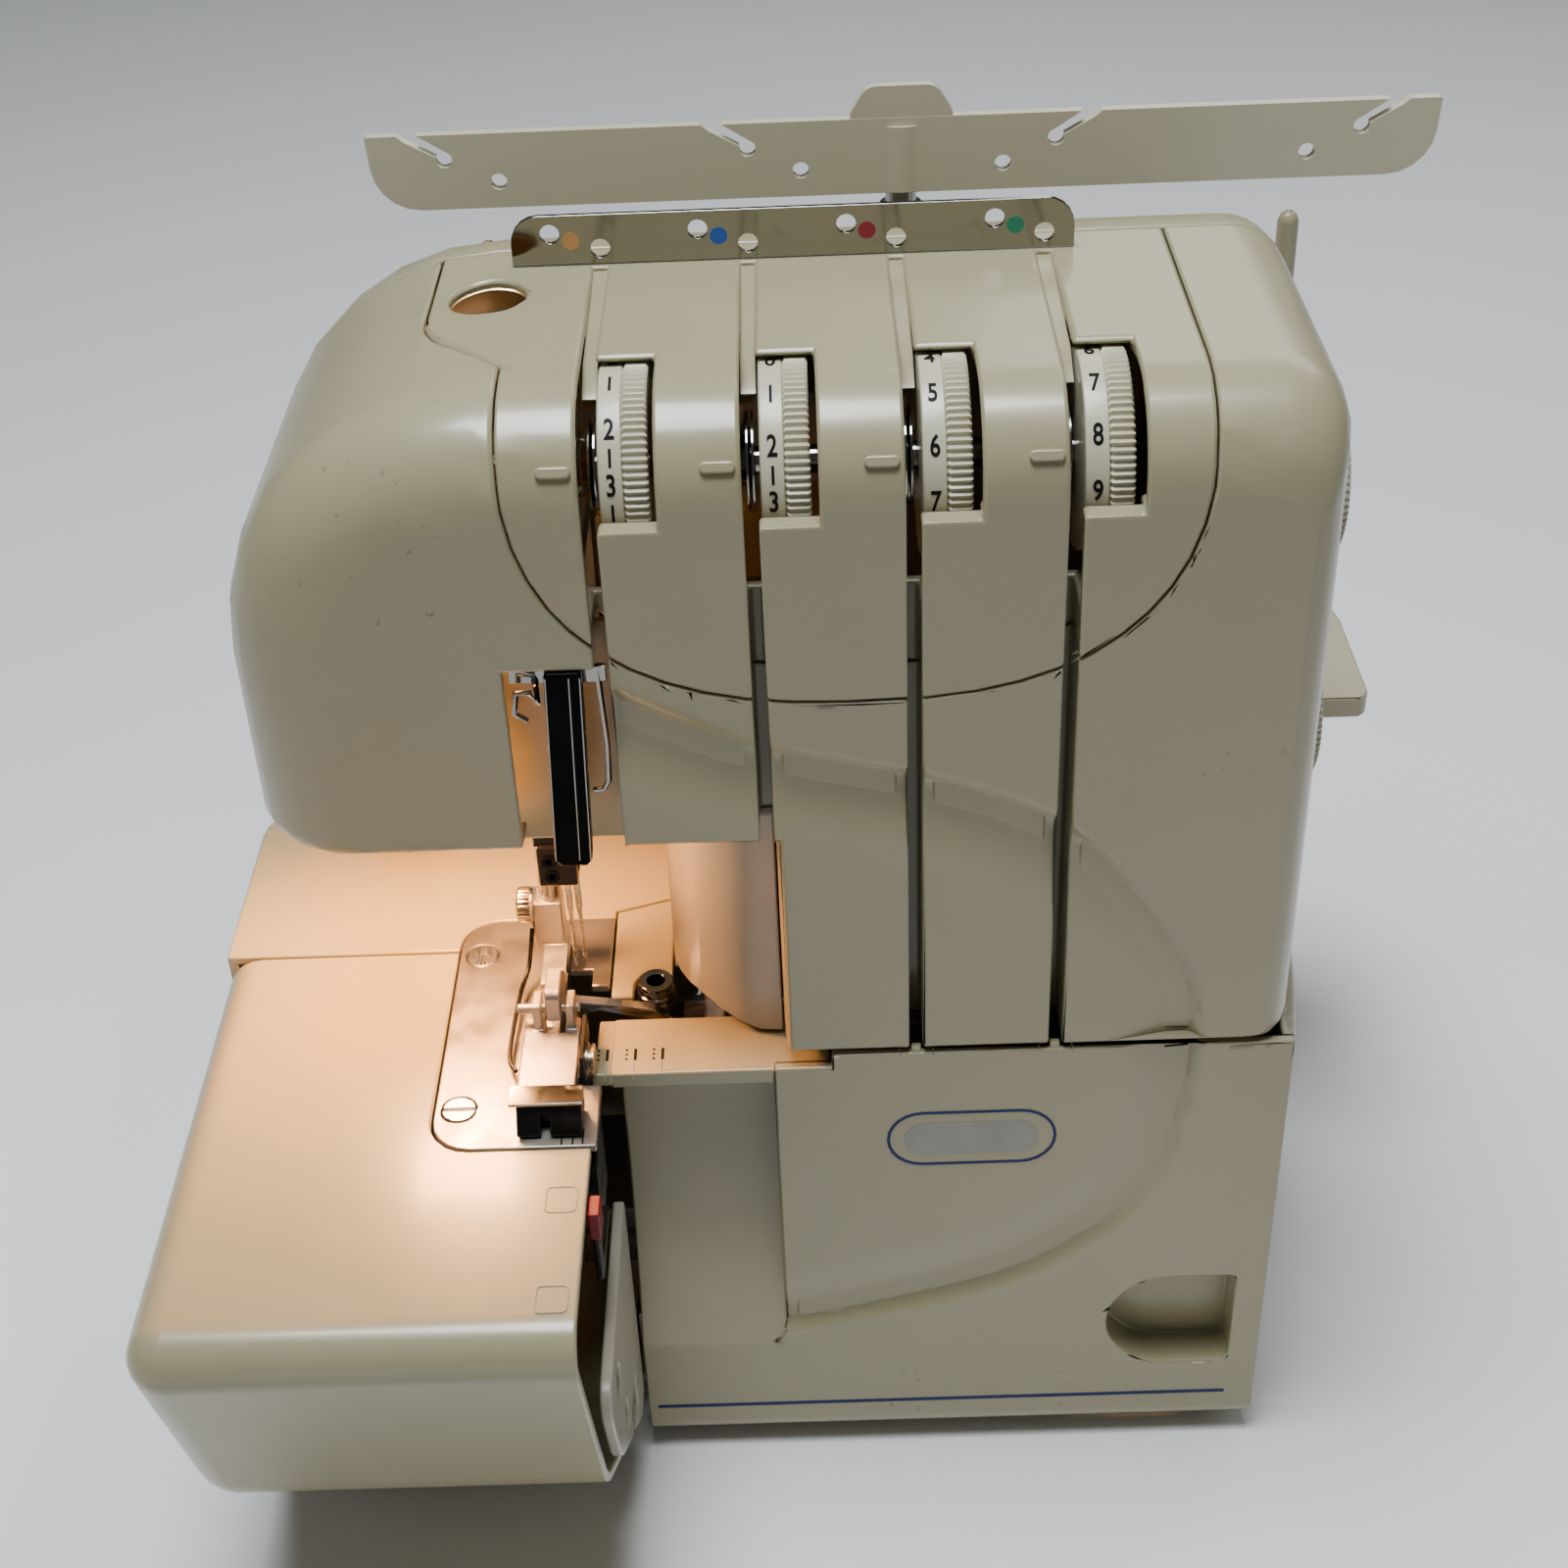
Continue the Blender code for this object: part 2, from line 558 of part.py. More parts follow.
def make_main_shaft():
    centre = (SHAFT_Y, SHAFT_Z)
    profile = [(5, -40), (5, 10), (8, 10), (8, 16), (5, 16), (5, 86), (22, 86), (22, 87), (20, 88),
               (20, 93), (22, 94), (22, 95), (5, 95), (5, 103.5), (4.2, 103.5), (4.2, 118.5)]
    add("main_shaft", turned(profile, "X", centre, 20), "steel", (0, *centre))
    wheel = [(WHEEL_RADIUS - 4, 105), (WHEEL_RADIUS - 1, 105.6), (WHEEL_RADIUS, 107.5), (WHEEL_RADIUS, 115),
             (WHEEL_RADIUS - 2.5, 117.6), (18, 119), (10, 120.5), (4.5, 120.5), (4.5, 105)]
    add("handwheel", turned(wheel, "X", centre, 40, bore=True), "cream", (0, *centre))


def make_motor():
    centre = (MOTOR_Y, MOTOR_Z)
    body = [(18, 8), (23, 12), (23, 56), (18, 61), (3.3, 61), (3.3, 8)]
    add("motor", turned(body, "X", centre, 28, bore=True), "black")
    pulley = [(3, 0), (3, 84.9), (10.5, 85), (10.5, 86), (8, 88), (8, 93), (10.5, 94), (10.5, 95)]
    add("motor_pulley", turned(pulley, "X", centre, 20), "steel", (0, *centre))
    add_belt()


def belt_loop(spread):
    """A belt round the two pulleys, as the outline of their common tangents."""
    far = math.hypot(SHAFT_Y - MOTOR_Y, SHAFT_Z - MOTOR_Z)
    heading = math.atan2(SHAFT_Z - MOTOR_Z, SHAFT_Y - MOTOR_Y)
    big, small = 20.4 + spread, 8.4 + spread
    lean = math.acos((big - small) / far)
    outline = []
    for centre, radius, first, last in (((SHAFT_Y, SHAFT_Z), big, lean - math.pi, math.pi - lean),
                                        ((MOTOR_Y, MOTOR_Z), small, math.pi - lean, math.pi + lean)):
        steps = 14
        for i in range(steps + 1):
            angle = heading + first + (last - first) * i / steps
            outline.append((centre[0] + radius * math.cos(angle), centre[1] + radius * math.sin(angle)))
    return outline


def add_belt():
    outer, inner = belt_loop(2.0), belt_loop(0.0)
    rings = [[(x, y, z) for y, z in loop]
             for x, loop in ((88.8, outer), (92.2, outer), (92.2, inner), (88.8, inner))]
    add("drive_belt", loft(rings, closed=True), "rubber")


# ---------------------------------------------------------------- head mechanism

def make_needle_bar():
    x, y = NEEDLE_BAR
    bar = add("needle_bar", disc("Z", NEEDLE_BAR, 3.4, 165, 268, 16), "steel")
    fuse(bar, box((x - 5.4, y - 5, 162.5), (x + 3.3, y + 3.6, 173.4)))
    fuse(bar, box((x - 6.0, y - 4, 173.0), (x - 0.5, y + 3, 177.6)))
    for name, offset in (("left_needle", 0.1), ("right_needle", 2.2)):
        place = (x + offset, y + 1)
        profile = [(0.25, 134), (0.5, 137), (0.5, 150), (0.8, 152), (0.8, 162.2)]
        add(name, turned(profile, "Z", place, 8), "steel")


def make_presser():
    x, y = PRESSER_BAR
    holder = add("presser_bar", disc("Z", PRESSER_BAR, 2.6, 140, 264, 16), "steel")
    fuse(holder, box((x - 4.6, y - 3.2, 135.8), (x + 2.6, y + 3.6, 149.2)))
    fuse(holder, box((x - 2.4, -21, 135.4), (-62.5, y, 137.1)))
    fuse(holder, disc("X", (y, 146.8), 4.1, x - 7.6, x - 4.0, 18))
    x = FOOT_X
    ankle = fillet([(FOOT_PIN_Y - 2.6, 135.2, 1), (FOOT_PIN_Y + 2.6, 135.2, 0), (-18.5, 135.4, 0), (-17.8, 137.1, 0),
                    (-22.5, 143.5, 2), (FOOT_PIN_Y - 2.6, 143.5, 2)], steps=3)
    fuse(holder, prism(ankle, "X", x - 1.8, x + 1.8))
    cut(holder, disc("X", (FOOT_PIN_Y, FOOT_PIN_Z), 1.5, x - 5, x + 5, 12))
    pivot = (x, FOOT_PIN_Y, FOOT_PIN_Z)
    sole = fillet([(-71.6, -56, 2), (-58.7, -56, 2), (-58.7, -29, 0), (-71.6, -29, 0)], steps=3)
    foot = add("presser_foot", prism(sole, "Z", 131, 133.6), "steel", pivot)
    ears = [box((low, FOOT_PIN_Y - 3, 132), (low + 2, FOOT_PIN_Y + 3, 140.3)) for low in (x - 4.8, x + 2.8)]
    fuse(foot, *ears)
    cut(foot, box((-66.9, -34, 128), (-62.1, -25, 134.5)))
    block = [(-55.5, 130.8), (-65, 130.8), (-61, 137), (-55.5, 137)]
    fuse(foot, prism(block, "X", -70.8, -56.4))
    cut(foot, box((-65.5, -66, 129), (-63.5, -60.5, 134.6)))
    fuse(foot, disc("X", (FOOT_PIN_Y, FOOT_PIN_Z), 1.2, x - 8.5, x + 5.8, 12))


def make_presser_lever():
    pivot = (-92, BACK_Y + 3, 214)
    lever = add("presser_lifter", disc("Y", (-92, 214), 7, BACK_Y + 0.5, BACK_Y + 6, 20), "cream", pivot)
    fuse(lever, prism(fillet([(-95, 211, 0), (-89, 211, 0), (-88, 176, 4), (-98, 176, 4)]), "Y",
                      BACK_Y + 1.5, BACK_Y + 5))


def make_lamp():
    profile = [(2, -106), (7, -103), (8.5, -97), (7.5, -88), (5, -84), (8, -84), (8, -80)]
    add("lamp", turned(profile, "X", (-2, 214), 16), "bulb")


def make_pressure_dial():
    profile = [(2.5, 262), (2.5, 276), (7.2, 276), (7.2, 284), (6.2, 286)]
    add("foot_pressure_dial", turned(profile, "Z", (-67, 15), 20), "black", (-67, 15, 280))


def make_tension_units():
    centre = (DIAL_Y, DIAL_Z)
    for number, right in enumerate(SLOT_RIGHT, start=1):
        low = right + 0.45
        profile = [(DIAL_RADIUS - 0.8, low), (DIAL_RADIUS, low + 0.8), (DIAL_RADIUS, low + DIAL_WIDTH - 0.8),
                   (DIAL_RADIUS - 0.8, low + DIAL_WIDTH), (3.3, low + DIAL_WIDTH), (3.3, low)]
        add(f"tension_dial_{number}", turned(profile, "X", centre, 32, bore=True), "cream", (right, *centre))
        stack = [(6, right - 10), (6, right - 4), (10, right - 2.4), (10, right - 1.9), (4, right - 1.6),
                 (10, right - 1.3), (10, right - 0.8), (2.9, right - 0.8), (2.9, right + 15)]
        add(f"tension_discs_{number}", turned(stack, "X", centre, 18), "chrome")


def make_side_dials():
    for name, z in zip(("stitch_length_dial", "differential_feed_dial"), SIDE_DIAL_Z):
        rim = RIGHT_X + 0.4
        profile = [(5, 80), (5, rim), (17.5, rim), (18, rim + 0.6), (18, rim + 3.4), (16.5, rim + 4.4), (8, rim + 4.6)]
        add(name, turned(profile, "X", (0, z), 30), "cream", (RIGHT_X, 0, z))


def make_needle_guard():
    outline = fillet([(-58.2, 189.8, 2), (-50.3, 189.8, 2), (-48.7, 237.7, 0.8), (-56.2, 237.7, 0.8)], steps=3)
    add("needle_guard", prism(outline, "Y", FRONT_Y - 0.5, FRONT_Y + 3.5), "black")


def make_wire_guides():
    left = [(-58.7, -40.2, 235), (-58.2, -43.5, 229.5), (-59.4, -44.5, 233), (-62.2, -44.5, 233), (-62.8, -45, 228.5),
            (-60.4, -45, 226.6)]
    right = [(-45.9, -40.3, 235), (-45.6, -41, 228), (-45.2, -41.5, 218), (-45.6, -41.5, 209), (-46.8, -41.5, 206.8),
             (-49, -41.5, 206.6)]
    guides = add("wire_thread_guides", box((-63.8, -41, 233), (-44.2, -39.6, 236.5)), "chrome")
    fuse(guides, wire(left, 0.7, 6), wire(right, 0.7, 6))


# ---------------------------------------------------------------- stitching parts at the bed

def make_needle_plate():
    left, right = PLATE_X
    front, rear = PLATE_Y
    plan = fillet([(left, front, PLATE_CORNER), (right, front, 0), (right, rear, 0), (left, rear, PLATE_CORNER)])
    plate = add("needle_plate", prism(plan, "Z", BED_Z - 2, BED_Z), "steel")
    cut(plate, box((-67.8, -48, 120), (-50, -14, 140)))
    cut(plate, box((-67.8, -16, 120), (-63.2, 2, 140)))
    cut(plate, box((-67.8, -16, 120), (-57.5, -8, 140)))
    holes = [(-84.6, -1.4), (-84.6, -54.7)]
    cut(plate, *[disc("Z", hole, 4.1, 120, 140, 20) for hole in holes])
    x, y = holes[1]
    screw = add("needle_plate_screw", disc("Z", (x, y), 3.75, 127.9, 130.1, 20), "steel")
    cut(screw, box((x - 5, y - 0.5, 129.3), (x + 5, y + 0.5, 132)))


def make_feed_dogs():
    bars = []
    for low, high in ((-38, -20.3), (-19.7, 0)):
        teeth = 8
        outline = [(high, 120), (low, 120)]
        for i in range(teeth):
            start = low + (high - low) * i / teeth
            outline.append((start, BED_Z - 0.4))
            outline.append((start + (high - low) * 0.5 / teeth, BED_Z + 0.3))
        outline.append((high, BED_Z - 0.4))
        bars.append(prism(outline, "X", -67.2, -64.0))
    dogs = add("feed_dogs", bars[0], "steel")
    fuse(dogs, bars[1])
    fuse(dogs, box((-67.0, -36, 117), (-64.2, -2, 120.6)))


def make_loopers():
    upper_pivot = (-36, -20.5, 96)
    arm = fillet([(-38.5, 94, 2), (-33.5, 94, 2), (-34.5, 118, 3), (-42, 128.5, 3), (-50, 130.2, 2),
                  (-65, 132.6, 0), (-62, 130.9, 0), (-50, 127.6, 2), (-43.5, 125.5, 3), (-38.5, 116, 3)], steps=3)
    add("upper_looper", prism(arm, "Y", -21.8, -19.2), "steel", upper_pivot)
    lower_pivot = (-72, -3, 90)
    arm = fillet([(-74.5, 88, 2), (-69.5, 88, 2), (-69, 108, 2), (-62, 113, 0), (-58, 113.5, 0), (-62, 115, 0),
                  (-74, 113, 2)], steps=3)
    add("lower_looper", prism(arm, "Y", -4.2, -2.2), "steel", lower_pivot)
    nut = add("looper_thread_tube", tube("Z", THREAD_TUBE, 2.2, 4.1, 112, 131.6, 18), "chrome")
    fuse(nut, box((-50, -16, 107), (-36, -9.5, 113)))


def make_knives():
    knife = add("upper_knife", box((-57.8, -48, 115), (-56.7, -33, 138)), "black")
    fuse(knife, prism([(-62, 100), (-47, 100), (-47, 121.5), (-62, 118)], "X", -57.4, -54.4))
    lower = add("lower_knife", box((-59.6, -45, 100), (-58.5, -34, 129.6)), "steel")
    fuse(lower, box((-66, -46, 96), (-58.8, -30, 105.7)))


def make_setting_lever():
    lever = add("plate_setting_lever", box((-54.3, -86.5, 120.8), (-51.7, -80.5, 128.4)), "red")
    fuse(lever, box((-53.8, -85.5, 107.5), (-52.3, -82, 122)))
    fuse(lever, box((-53.8, -84, 107.5), (-52.3, -66, 110.6)))


# ---------------------------------------------------------------- thread path and spool stand

def make_thread_plate():
    outline = fillet([(-63, TOP_Z + GAP, 0), (55, TOP_Z + GAP, 0), (55, 303, 6), (-63, 303, 6)])
    plate = add("thread_guide_plate", prism(outline, "Y", GUIDE_PLATE_Y, GUIDE_PLATE_Y + 1.2), "chrome")
    holes = []
    for i in range(4):
        x = -54.7 + SLOT_PITCH * i
        holes.append(disc("Y", (x, 299), 2.1, 25, 40, 12))
        holes.append(disc("Y", (x + 10.4, 295.6), 2.1, 25, 40, 12))
    cut(plate, *holes)


def make_spool_stand():
    plan = fillet([(-104, 67, 4), (141, 67, 4), (141, STAND_BACK_Y, 18), (-104, STAND_BACK_Y, 18)])
    stand = add("spool_stand", prism(plan, "Z", STAND_TOP - 6, STAND_TOP), "cream")
    fuse(stand, box((-8, BACK_Y + GAP, 118), (60, 68.5, STAND_TOP - 1)))
    fuse(stand, disc("Z", (POLE_X, POLE_Y), 11, 132, STAND_TOP - 2, 24))
    cut(stand, disc("Z", (POLE_X, POLE_Y), 6.8, 136, STAND_TOP + 5, 24))
    cut(stand, disc("Z", (POLE_X, POLE_Y), 3, 128, 138, 12))
    tip = 271.5
    profile = [(3, STAND_TOP - 2.7), (2.6, tip - 2.5), (1.9, tip - 0.8), (0.8, tip)]
    fuse(stand, *[turned(profile, "Z", (x, PIN_Y), 12) for x in PIN_X])


def make_pole():
    centre = (POLE_X, POLE_Y)
    add("pole_outer_tube", tube("Z", centre, 5.4, 6.5, 136.3, 272, 20), "chrome")
    add("pole_middle_tube", tube("Z", centre, 4.0, 5.1, 140, 275, 20), "chrome")
    add("pole_inner_rod", disc("Z", centre, 3.7, 144, 280, 20), "chrome")


def make_guide_bar():
    left, right = GUIDE_BAR_X
    front, back = 94.0, 96.6
    middle = (left + right) / 2
    outline = fillet([(left, 298, 0.5), (left + 1, 280, 11), (right - 1, 280, 11), (right, 298, 0.5)])
    bar = add("thread_guide_bar", prism(outline, "Y", front, back), "cream")
    fuse(bar, prism(fillet([(10, 284, 0), (34, 284, 0), (34, 299, 5), (30, 305.5, 4), (14, 305.5, 4),
                            (10, 299, 5)]), "Y", front + 0.1, back - 0.1))
    fuse(bar, disc("Z", (POLE_X, POLE_Y), 8, 280.3, 296, 20))
    holes = []
    notches = []
    for side in (-1, 1):
        for reach in (107, 36):
            x = middle + side * reach
            holes.append(disc("Y", (x, 292), 2.0, 90, 93.9 + 6, 12))
            sweep = [(x - side * 1.0, 291), (x - side * 1.0, 293.6), (x + side * 9, 300), (x + side * 13, 300),
                     (x + side * 9, 296.6)]
            notches.append(prism(sweep, "Y", 90, 98))
            plain = x - side * 12.3
            holes.append(disc("Y", (plain, 286.3), 2.0, 90, 99.9, 12))
    cut(bar, *holes)
    cut(bar, *notches)


# ---------------------------------------------------------------- electrics and fasteners

def make_electrics():
    socket = add("inlet_and_switch_frame", box((86.3, 22.0, 20.4), (RIGHT_X + 0.5, 54, 48)), "black")
    cut(socket, box((92, 24, 24), (RIGHT_X + 4, 38, 44)), box((92, 40.5, 24), (RIGHT_X + 4, 52, 44)))
    back, face, dip = RIGHT_X - 5.5, RIGHT_X + 0.3, RIGHT_X - 0.9
    rocker = [(back, 26.2), (face, 24.5), (dip, 34), (face, 43.5), (back, 41.8)]
    add("power_switch", prism(rocker, "Y", 40.9, 51.6), "black", (RIGHT_X - 3.5, 46, 34))


def build():
    for existing in list(bpy.data.objects):
        bpy.data.objects.remove(existing, do_unlink=True)
    make_tension_panel()
    make_front_cover()
    make_head_cover()
    make_rear_cover()
    make_lower_case()
    make_bed_cover()
    make_bed_insert()
    make_column_cover()
    make_side_cover()
    make_knife_side_panel()
    make_looper_cover()
    make_looper_cover_hinge()
    make_base()
    make_frame()
    make_main_shaft()
    make_motor()
    make_needle_bar()
    make_presser()
    make_presser_lever()
    make_lamp()
    make_pressure_dial()
    make_tension_units()
    make_side_dials()
    make_needle_guard()
    make_wire_guides()
    make_needle_plate()
    make_feed_dogs()
    make_loopers()
    make_knives()
    make_setting_lever()
    make_thread_plate()
    make_spool_stand()
    make_pole()
    make_guide_bar()
    make_electrics()


build()
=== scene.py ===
"""Looks of the four-thread serger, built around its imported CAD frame.

X runs to the right of a person sitting at the machine, Y away from them, Z up.
Sizes are in millimetres; piece() scales a finished solid to the frame's metres.
"""

import json
import math

import bmesh
import bpy
from mathutils import Matrix, Vector

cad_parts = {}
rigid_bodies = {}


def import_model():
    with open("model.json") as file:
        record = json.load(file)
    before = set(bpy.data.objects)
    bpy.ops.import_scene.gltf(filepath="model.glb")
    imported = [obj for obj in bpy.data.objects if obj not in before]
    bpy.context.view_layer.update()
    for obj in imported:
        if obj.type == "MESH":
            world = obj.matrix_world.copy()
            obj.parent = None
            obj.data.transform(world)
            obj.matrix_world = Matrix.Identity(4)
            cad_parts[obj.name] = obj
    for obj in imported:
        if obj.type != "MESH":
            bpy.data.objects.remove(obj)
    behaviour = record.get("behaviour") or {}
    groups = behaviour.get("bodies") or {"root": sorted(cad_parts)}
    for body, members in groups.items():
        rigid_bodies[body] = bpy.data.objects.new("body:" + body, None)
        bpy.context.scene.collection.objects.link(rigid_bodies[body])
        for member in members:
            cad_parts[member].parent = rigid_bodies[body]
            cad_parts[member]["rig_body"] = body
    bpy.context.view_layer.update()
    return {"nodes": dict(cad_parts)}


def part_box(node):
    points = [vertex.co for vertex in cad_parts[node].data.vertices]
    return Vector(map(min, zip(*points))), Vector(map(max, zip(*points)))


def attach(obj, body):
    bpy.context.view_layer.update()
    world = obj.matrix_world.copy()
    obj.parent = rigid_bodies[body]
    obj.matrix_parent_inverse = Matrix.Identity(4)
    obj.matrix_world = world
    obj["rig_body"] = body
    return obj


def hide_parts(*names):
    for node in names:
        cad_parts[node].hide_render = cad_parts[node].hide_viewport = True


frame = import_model()

MM = 0.001
FRONT_Y = -45.0
BED_Z = 130.0
SHOULDER, SHOULDER_Z = 20.0, 272.0      # rounding from the front face over to the top
SLOT_PITCH = 31.0
FIRST_SLOT_X, FIRST_DIAL_X = -43.0, -50.4      # right edge of the leftmost slot, middle left of its dial
STATIONS = range(4)
SPOOL_PITCH, FIRST_SPOOL_X, SPOOL_Y = 63.7, -77.0, 95.0


# ---------------------------------------------------------------- material nodes

def link(tree, output, socket):
    tree.links.new(output, socket)


def coordinates(tree, stretch=(1, 1, 1)):
    place = tree.nodes.new("ShaderNodeTexCoord")
    mapping = tree.nodes.new("ShaderNodeMapping")
    mapping.inputs["Scale"].default_value = stretch
    link(tree, place.outputs["Object"], mapping.inputs["Vector"])
    return mapping.outputs["Vector"]


def noise(tree, scale, detail=3.0, stretch=(1, 1, 1), roughness=0.5):
    made = tree.nodes.new("ShaderNodeTexNoise")
    made.inputs["Scale"].default_value = scale
    made.inputs["Detail"].default_value = detail
    made.inputs["Roughness"].default_value = roughness
    link(tree, coordinates(tree, stretch), made.inputs["Vector"])
    return made.outputs["Fac"]


def spread(tree, value, low, high, to_low=0.0, to_high=1.0):
    made = tree.nodes.new("ShaderNodeMapRange")
    made.interpolation_type = "SMOOTHSTEP"
    for name, number in (("From Min", low), ("From Max", high), ("To Min", to_low), ("To Max", to_high)):
        made.inputs[name].default_value = number
    link(tree, value, made.inputs["Value"])
    return made.outputs["Result"]


def times(tree, first, second):
    made = tree.nodes.new("ShaderNodeMath")
    made.operation = "MULTIPLY"
    link(tree, first, made.inputs[0])
    if isinstance(second, float):
        made.inputs[1].default_value = second
    else:
        link(tree, second, made.inputs[1])
    return made.outputs["Value"]


def blended(tree, share, first, second):
    """Mix two colours; each is a socket or an (r, g, b)."""
    made = tree.nodes.new("ShaderNodeMix")
    made.data_type = "RGBA"
    link(tree, share, made.inputs["Factor"])
    for value, name in ((first, "A"), (second, "B")):
        socket = next(s for s in made.inputs if s.name == name and s.type == "RGBA")
        if isinstance(value, tuple):
            socket.default_value = (*value, 1.0)
        else:
            link(tree, value, socket)
    return next(s for s in made.outputs if s.type == "RGBA")


def bump(tree, shader, height, strength, distance):
    made = tree.nodes.new("ShaderNodeBump")
    made.inputs["Strength"].default_value = strength
    made.inputs["Distance"].default_value = distance
    link(tree, height, made.inputs["Height"])
    link(tree, made.outputs["Normal"], shader.inputs["Normal"])


def start(name, colour, roughness, **sockets):
    """A Principled material with its uniform values set on its own sockets."""
    made = bpy.data.materials.new(name)
    made.use_nodes = True
    shader = made.node_tree.nodes["Principled BSDF"]
    shader.inputs["Base Color"].default_value = (*colour, 1.0)
    shader.inputs["Roughness"].default_value = roughness
    for key, value in sockets.items():
        shader.inputs[key.replace("_", " ")].default_value = value
    made.diffuse_color = (*colour, 1.0)
    return made, made.node_tree, shader


# ---------------------------------------------------------------- materials

def plastic(name, colour, aged, roughness=0.3, coat=0.25, dirt=1.0):
    """Glossy moulding: cloudy ageing, hairline scuffs, a few dark specks, faint orange peel."""
    made, tree, shader = start(name, colour, roughness, Coat_Weight=coat, Coat_Roughness=0.12)
    clouds = spread(tree, noise(tree, 16, 4), 0.35, 0.75)
    tone = blended(tree, clouds, colour, aged)
    patches = spread(tree, noise(tree, 11, 2), 0.56, 0.72)
    specks = times(tree, spread(tree, noise(tree, 430, 1), 0.735, 0.76), patches)
    grime = (0.10, 0.085, 0.065)
    tone = blended(tree, times(tree, specks, 0.55 * dirt), tone, grime)
    hairs = spread(tree, noise(tree, 1, 2, (90, 90, 1500)), 0.70, 0.73)
    tone = blended(tree, times(tree, times(tree, hairs, patches), 0.35 * dirt), tone, grime)
    link(tree, tone, shader.inputs["Base Color"])
    wear = spread(tree, noise(tree, 70, 5), 0.3, 0.75, roughness - 0.02, roughness + 0.03)
    link(tree, wear, shader.inputs["Roughness"])
    bump(tree, shader, noise(tree, 1100, 2), 0.05, 0.0001)
    return made


def brushed(name, colour, roughness, stretch, tint=(0.42, 0.36, 0.29), stain=0.25):
    """Rolled or ground steel: fine lines one way, and a few brownish stains."""
    made, tree, shader = start(name, colour, roughness, Metallic=1.0)
    lines = noise(tree, 45, 4, stretch, 0.6)
    stains = times(tree, spread(tree, noise(tree, 90, 4), 0.52, 0.72), stain)
    link(tree, blended(tree, stains, colour, tint), shader.inputs["Base Color"])
    link(tree, spread(tree, lines, 0.3, 0.7, roughness - 0.08, roughness + 0.12), shader.inputs["Roughness"])
    bump(tree, shader, lines, 0.08, 0.00003)
    return made


def sanded(name, colour, roughness, grain, pitting=0.45):
    """Cast or blasted metal with a sandy surface and dark pits."""
    made, tree, shader = start(name, colour, roughness, Metallic=0.85)
    pits = noise(tree, grain, 3)
    dark = tuple(pitting * c for c in colour)
    link(tree, blended(tree, spread(tree, pits, 0.58, 0.70), colour, dark), shader.inputs["Base Color"])
    link(tree, spread(tree, noise(tree, 120, 4), 0.3, 0.7, roughness - 0.08, roughness + 0.1),
         shader.inputs["Roughness"])
    bump(tree, shader, pits, 0.45 * (1 - pitting), 0.00012)
    return made


def polished(name, colour, roughness):
    """Plating with finger smudges and water marks."""
    made, tree, shader = start(name, colour, roughness, Metallic=1.0)
    smudges = spread(tree, noise(tree, 55, 5), 0.42, 0.72, roughness, roughness + 0.14)
    link(tree, smudges, shader.inputs["Roughness"])
    marks = times(tree, spread(tree, noise(tree, 180, 2), 0.66, 0.72), 0.3)
    link(tree, blended(tree, marks, colour, tuple(0.7 * c for c in colour)), shader.inputs["Base Color"])
    bump(tree, shader, noise(tree, 25, 2), 0.05, 0.0003)
    return made


def dull(name, colour, roughness, grain, strength, **sockets):
    """Ink, rubber, felt and paint: a soft mottled tone and a fine texture."""
    made, tree, shader = start(name, colour, roughness, **sockets)
    mottle = spread(tree, noise(tree, grain / 8, 3), 0.35, 0.7)
    lighter = tuple(min(1.0, 1.12 * c + 0.002) for c in colour)
    link(tree, blended(tree, mottle, colour, lighter), shader.inputs["Base Color"])
    link(tree, spread(tree, noise(tree, grain / 4, 2), 0.3, 0.7, roughness - 0.06, roughness + 0.06),
         shader.inputs["Roughness"])
    bump(tree, shader, noise(tree, grain, 2), strength, 0.0001)
    return made


def glowing(name, colour, strength):
    made, tree, shader = start(name, colour, 0.2, Emission_Strength=strength)
    filament = spread(tree, noise(tree, 260, 2), 0.3, 0.7)
    warm = blended(tree, filament, (1.0, 0.72, 0.40), (1.0, 0.86, 0.62))
    link(tree, warm, shader.inputs["Emission Color"])
    return made


CREAM = plastic("cream_plastic", (0.345, 0.305, 0.182), (0.335, 0.295, 0.17))
CREAM_CLEAN = plastic("cream_plastic_clean", (0.53, 0.49, 0.345), (0.52, 0.48, 0.335), 0.35, 0.1, 0.4)
WHITE = plastic("white_plastic", (0.40, 0.37, 0.29), (0.39, 0.36, 0.28), 0.32, 0.2, 0.7)
BLACK = plastic("black_plastic", (0.004, 0.004, 0.004), (0.007, 0.006, 0.006), 0.16, 0.0, 0.0)
RED = plastic("red_plastic", (0.20, 0.001, 0.004), (0.18, 0.001, 0.003), 0.45, 0.0, 0.3)
STEEL = brushed("plate_steel", (0.60, 0.56, 0.50), 0.30, (40, 1, 1))
SATIN_STEEL = sanded("satin_steel", (0.36, 0.325, 0.27), 0.36, 2600, 0.8)
SHAFT_STEEL = brushed("shaft_steel", (0.55, 0.54, 0.52), 0.24, (1, 1, 9), stain=0.1)
SANDED = sanded("blasted_steel", (0.62, 0.585, 0.535), 0.36, 3800)
CASTING = sanded("cast_aluminium", (0.50, 0.50, 0.50), 0.5, 1500)
CHROME = polished("chrome", (0.31, 0.30, 0.275), 0.06)
BRASS = polished("brass_plating", (0.50, 0.42, 0.28), 0.2)
DARK_STEEL = brushed("black_steel", (0.035, 0.034, 0.033), 0.34, (1, 1, 9), (0.09, 0.07, 0.05))
GLOSS_BLACK = dull("glossy_black_plastic", (0.002, 0.002, 0.002), 0.3, 900, 0.02, Specular_IOR_Level=0.03)
RUBBER = dull("rubber", (0.018, 0.018, 0.018), 0.75, 1600, 0.5)
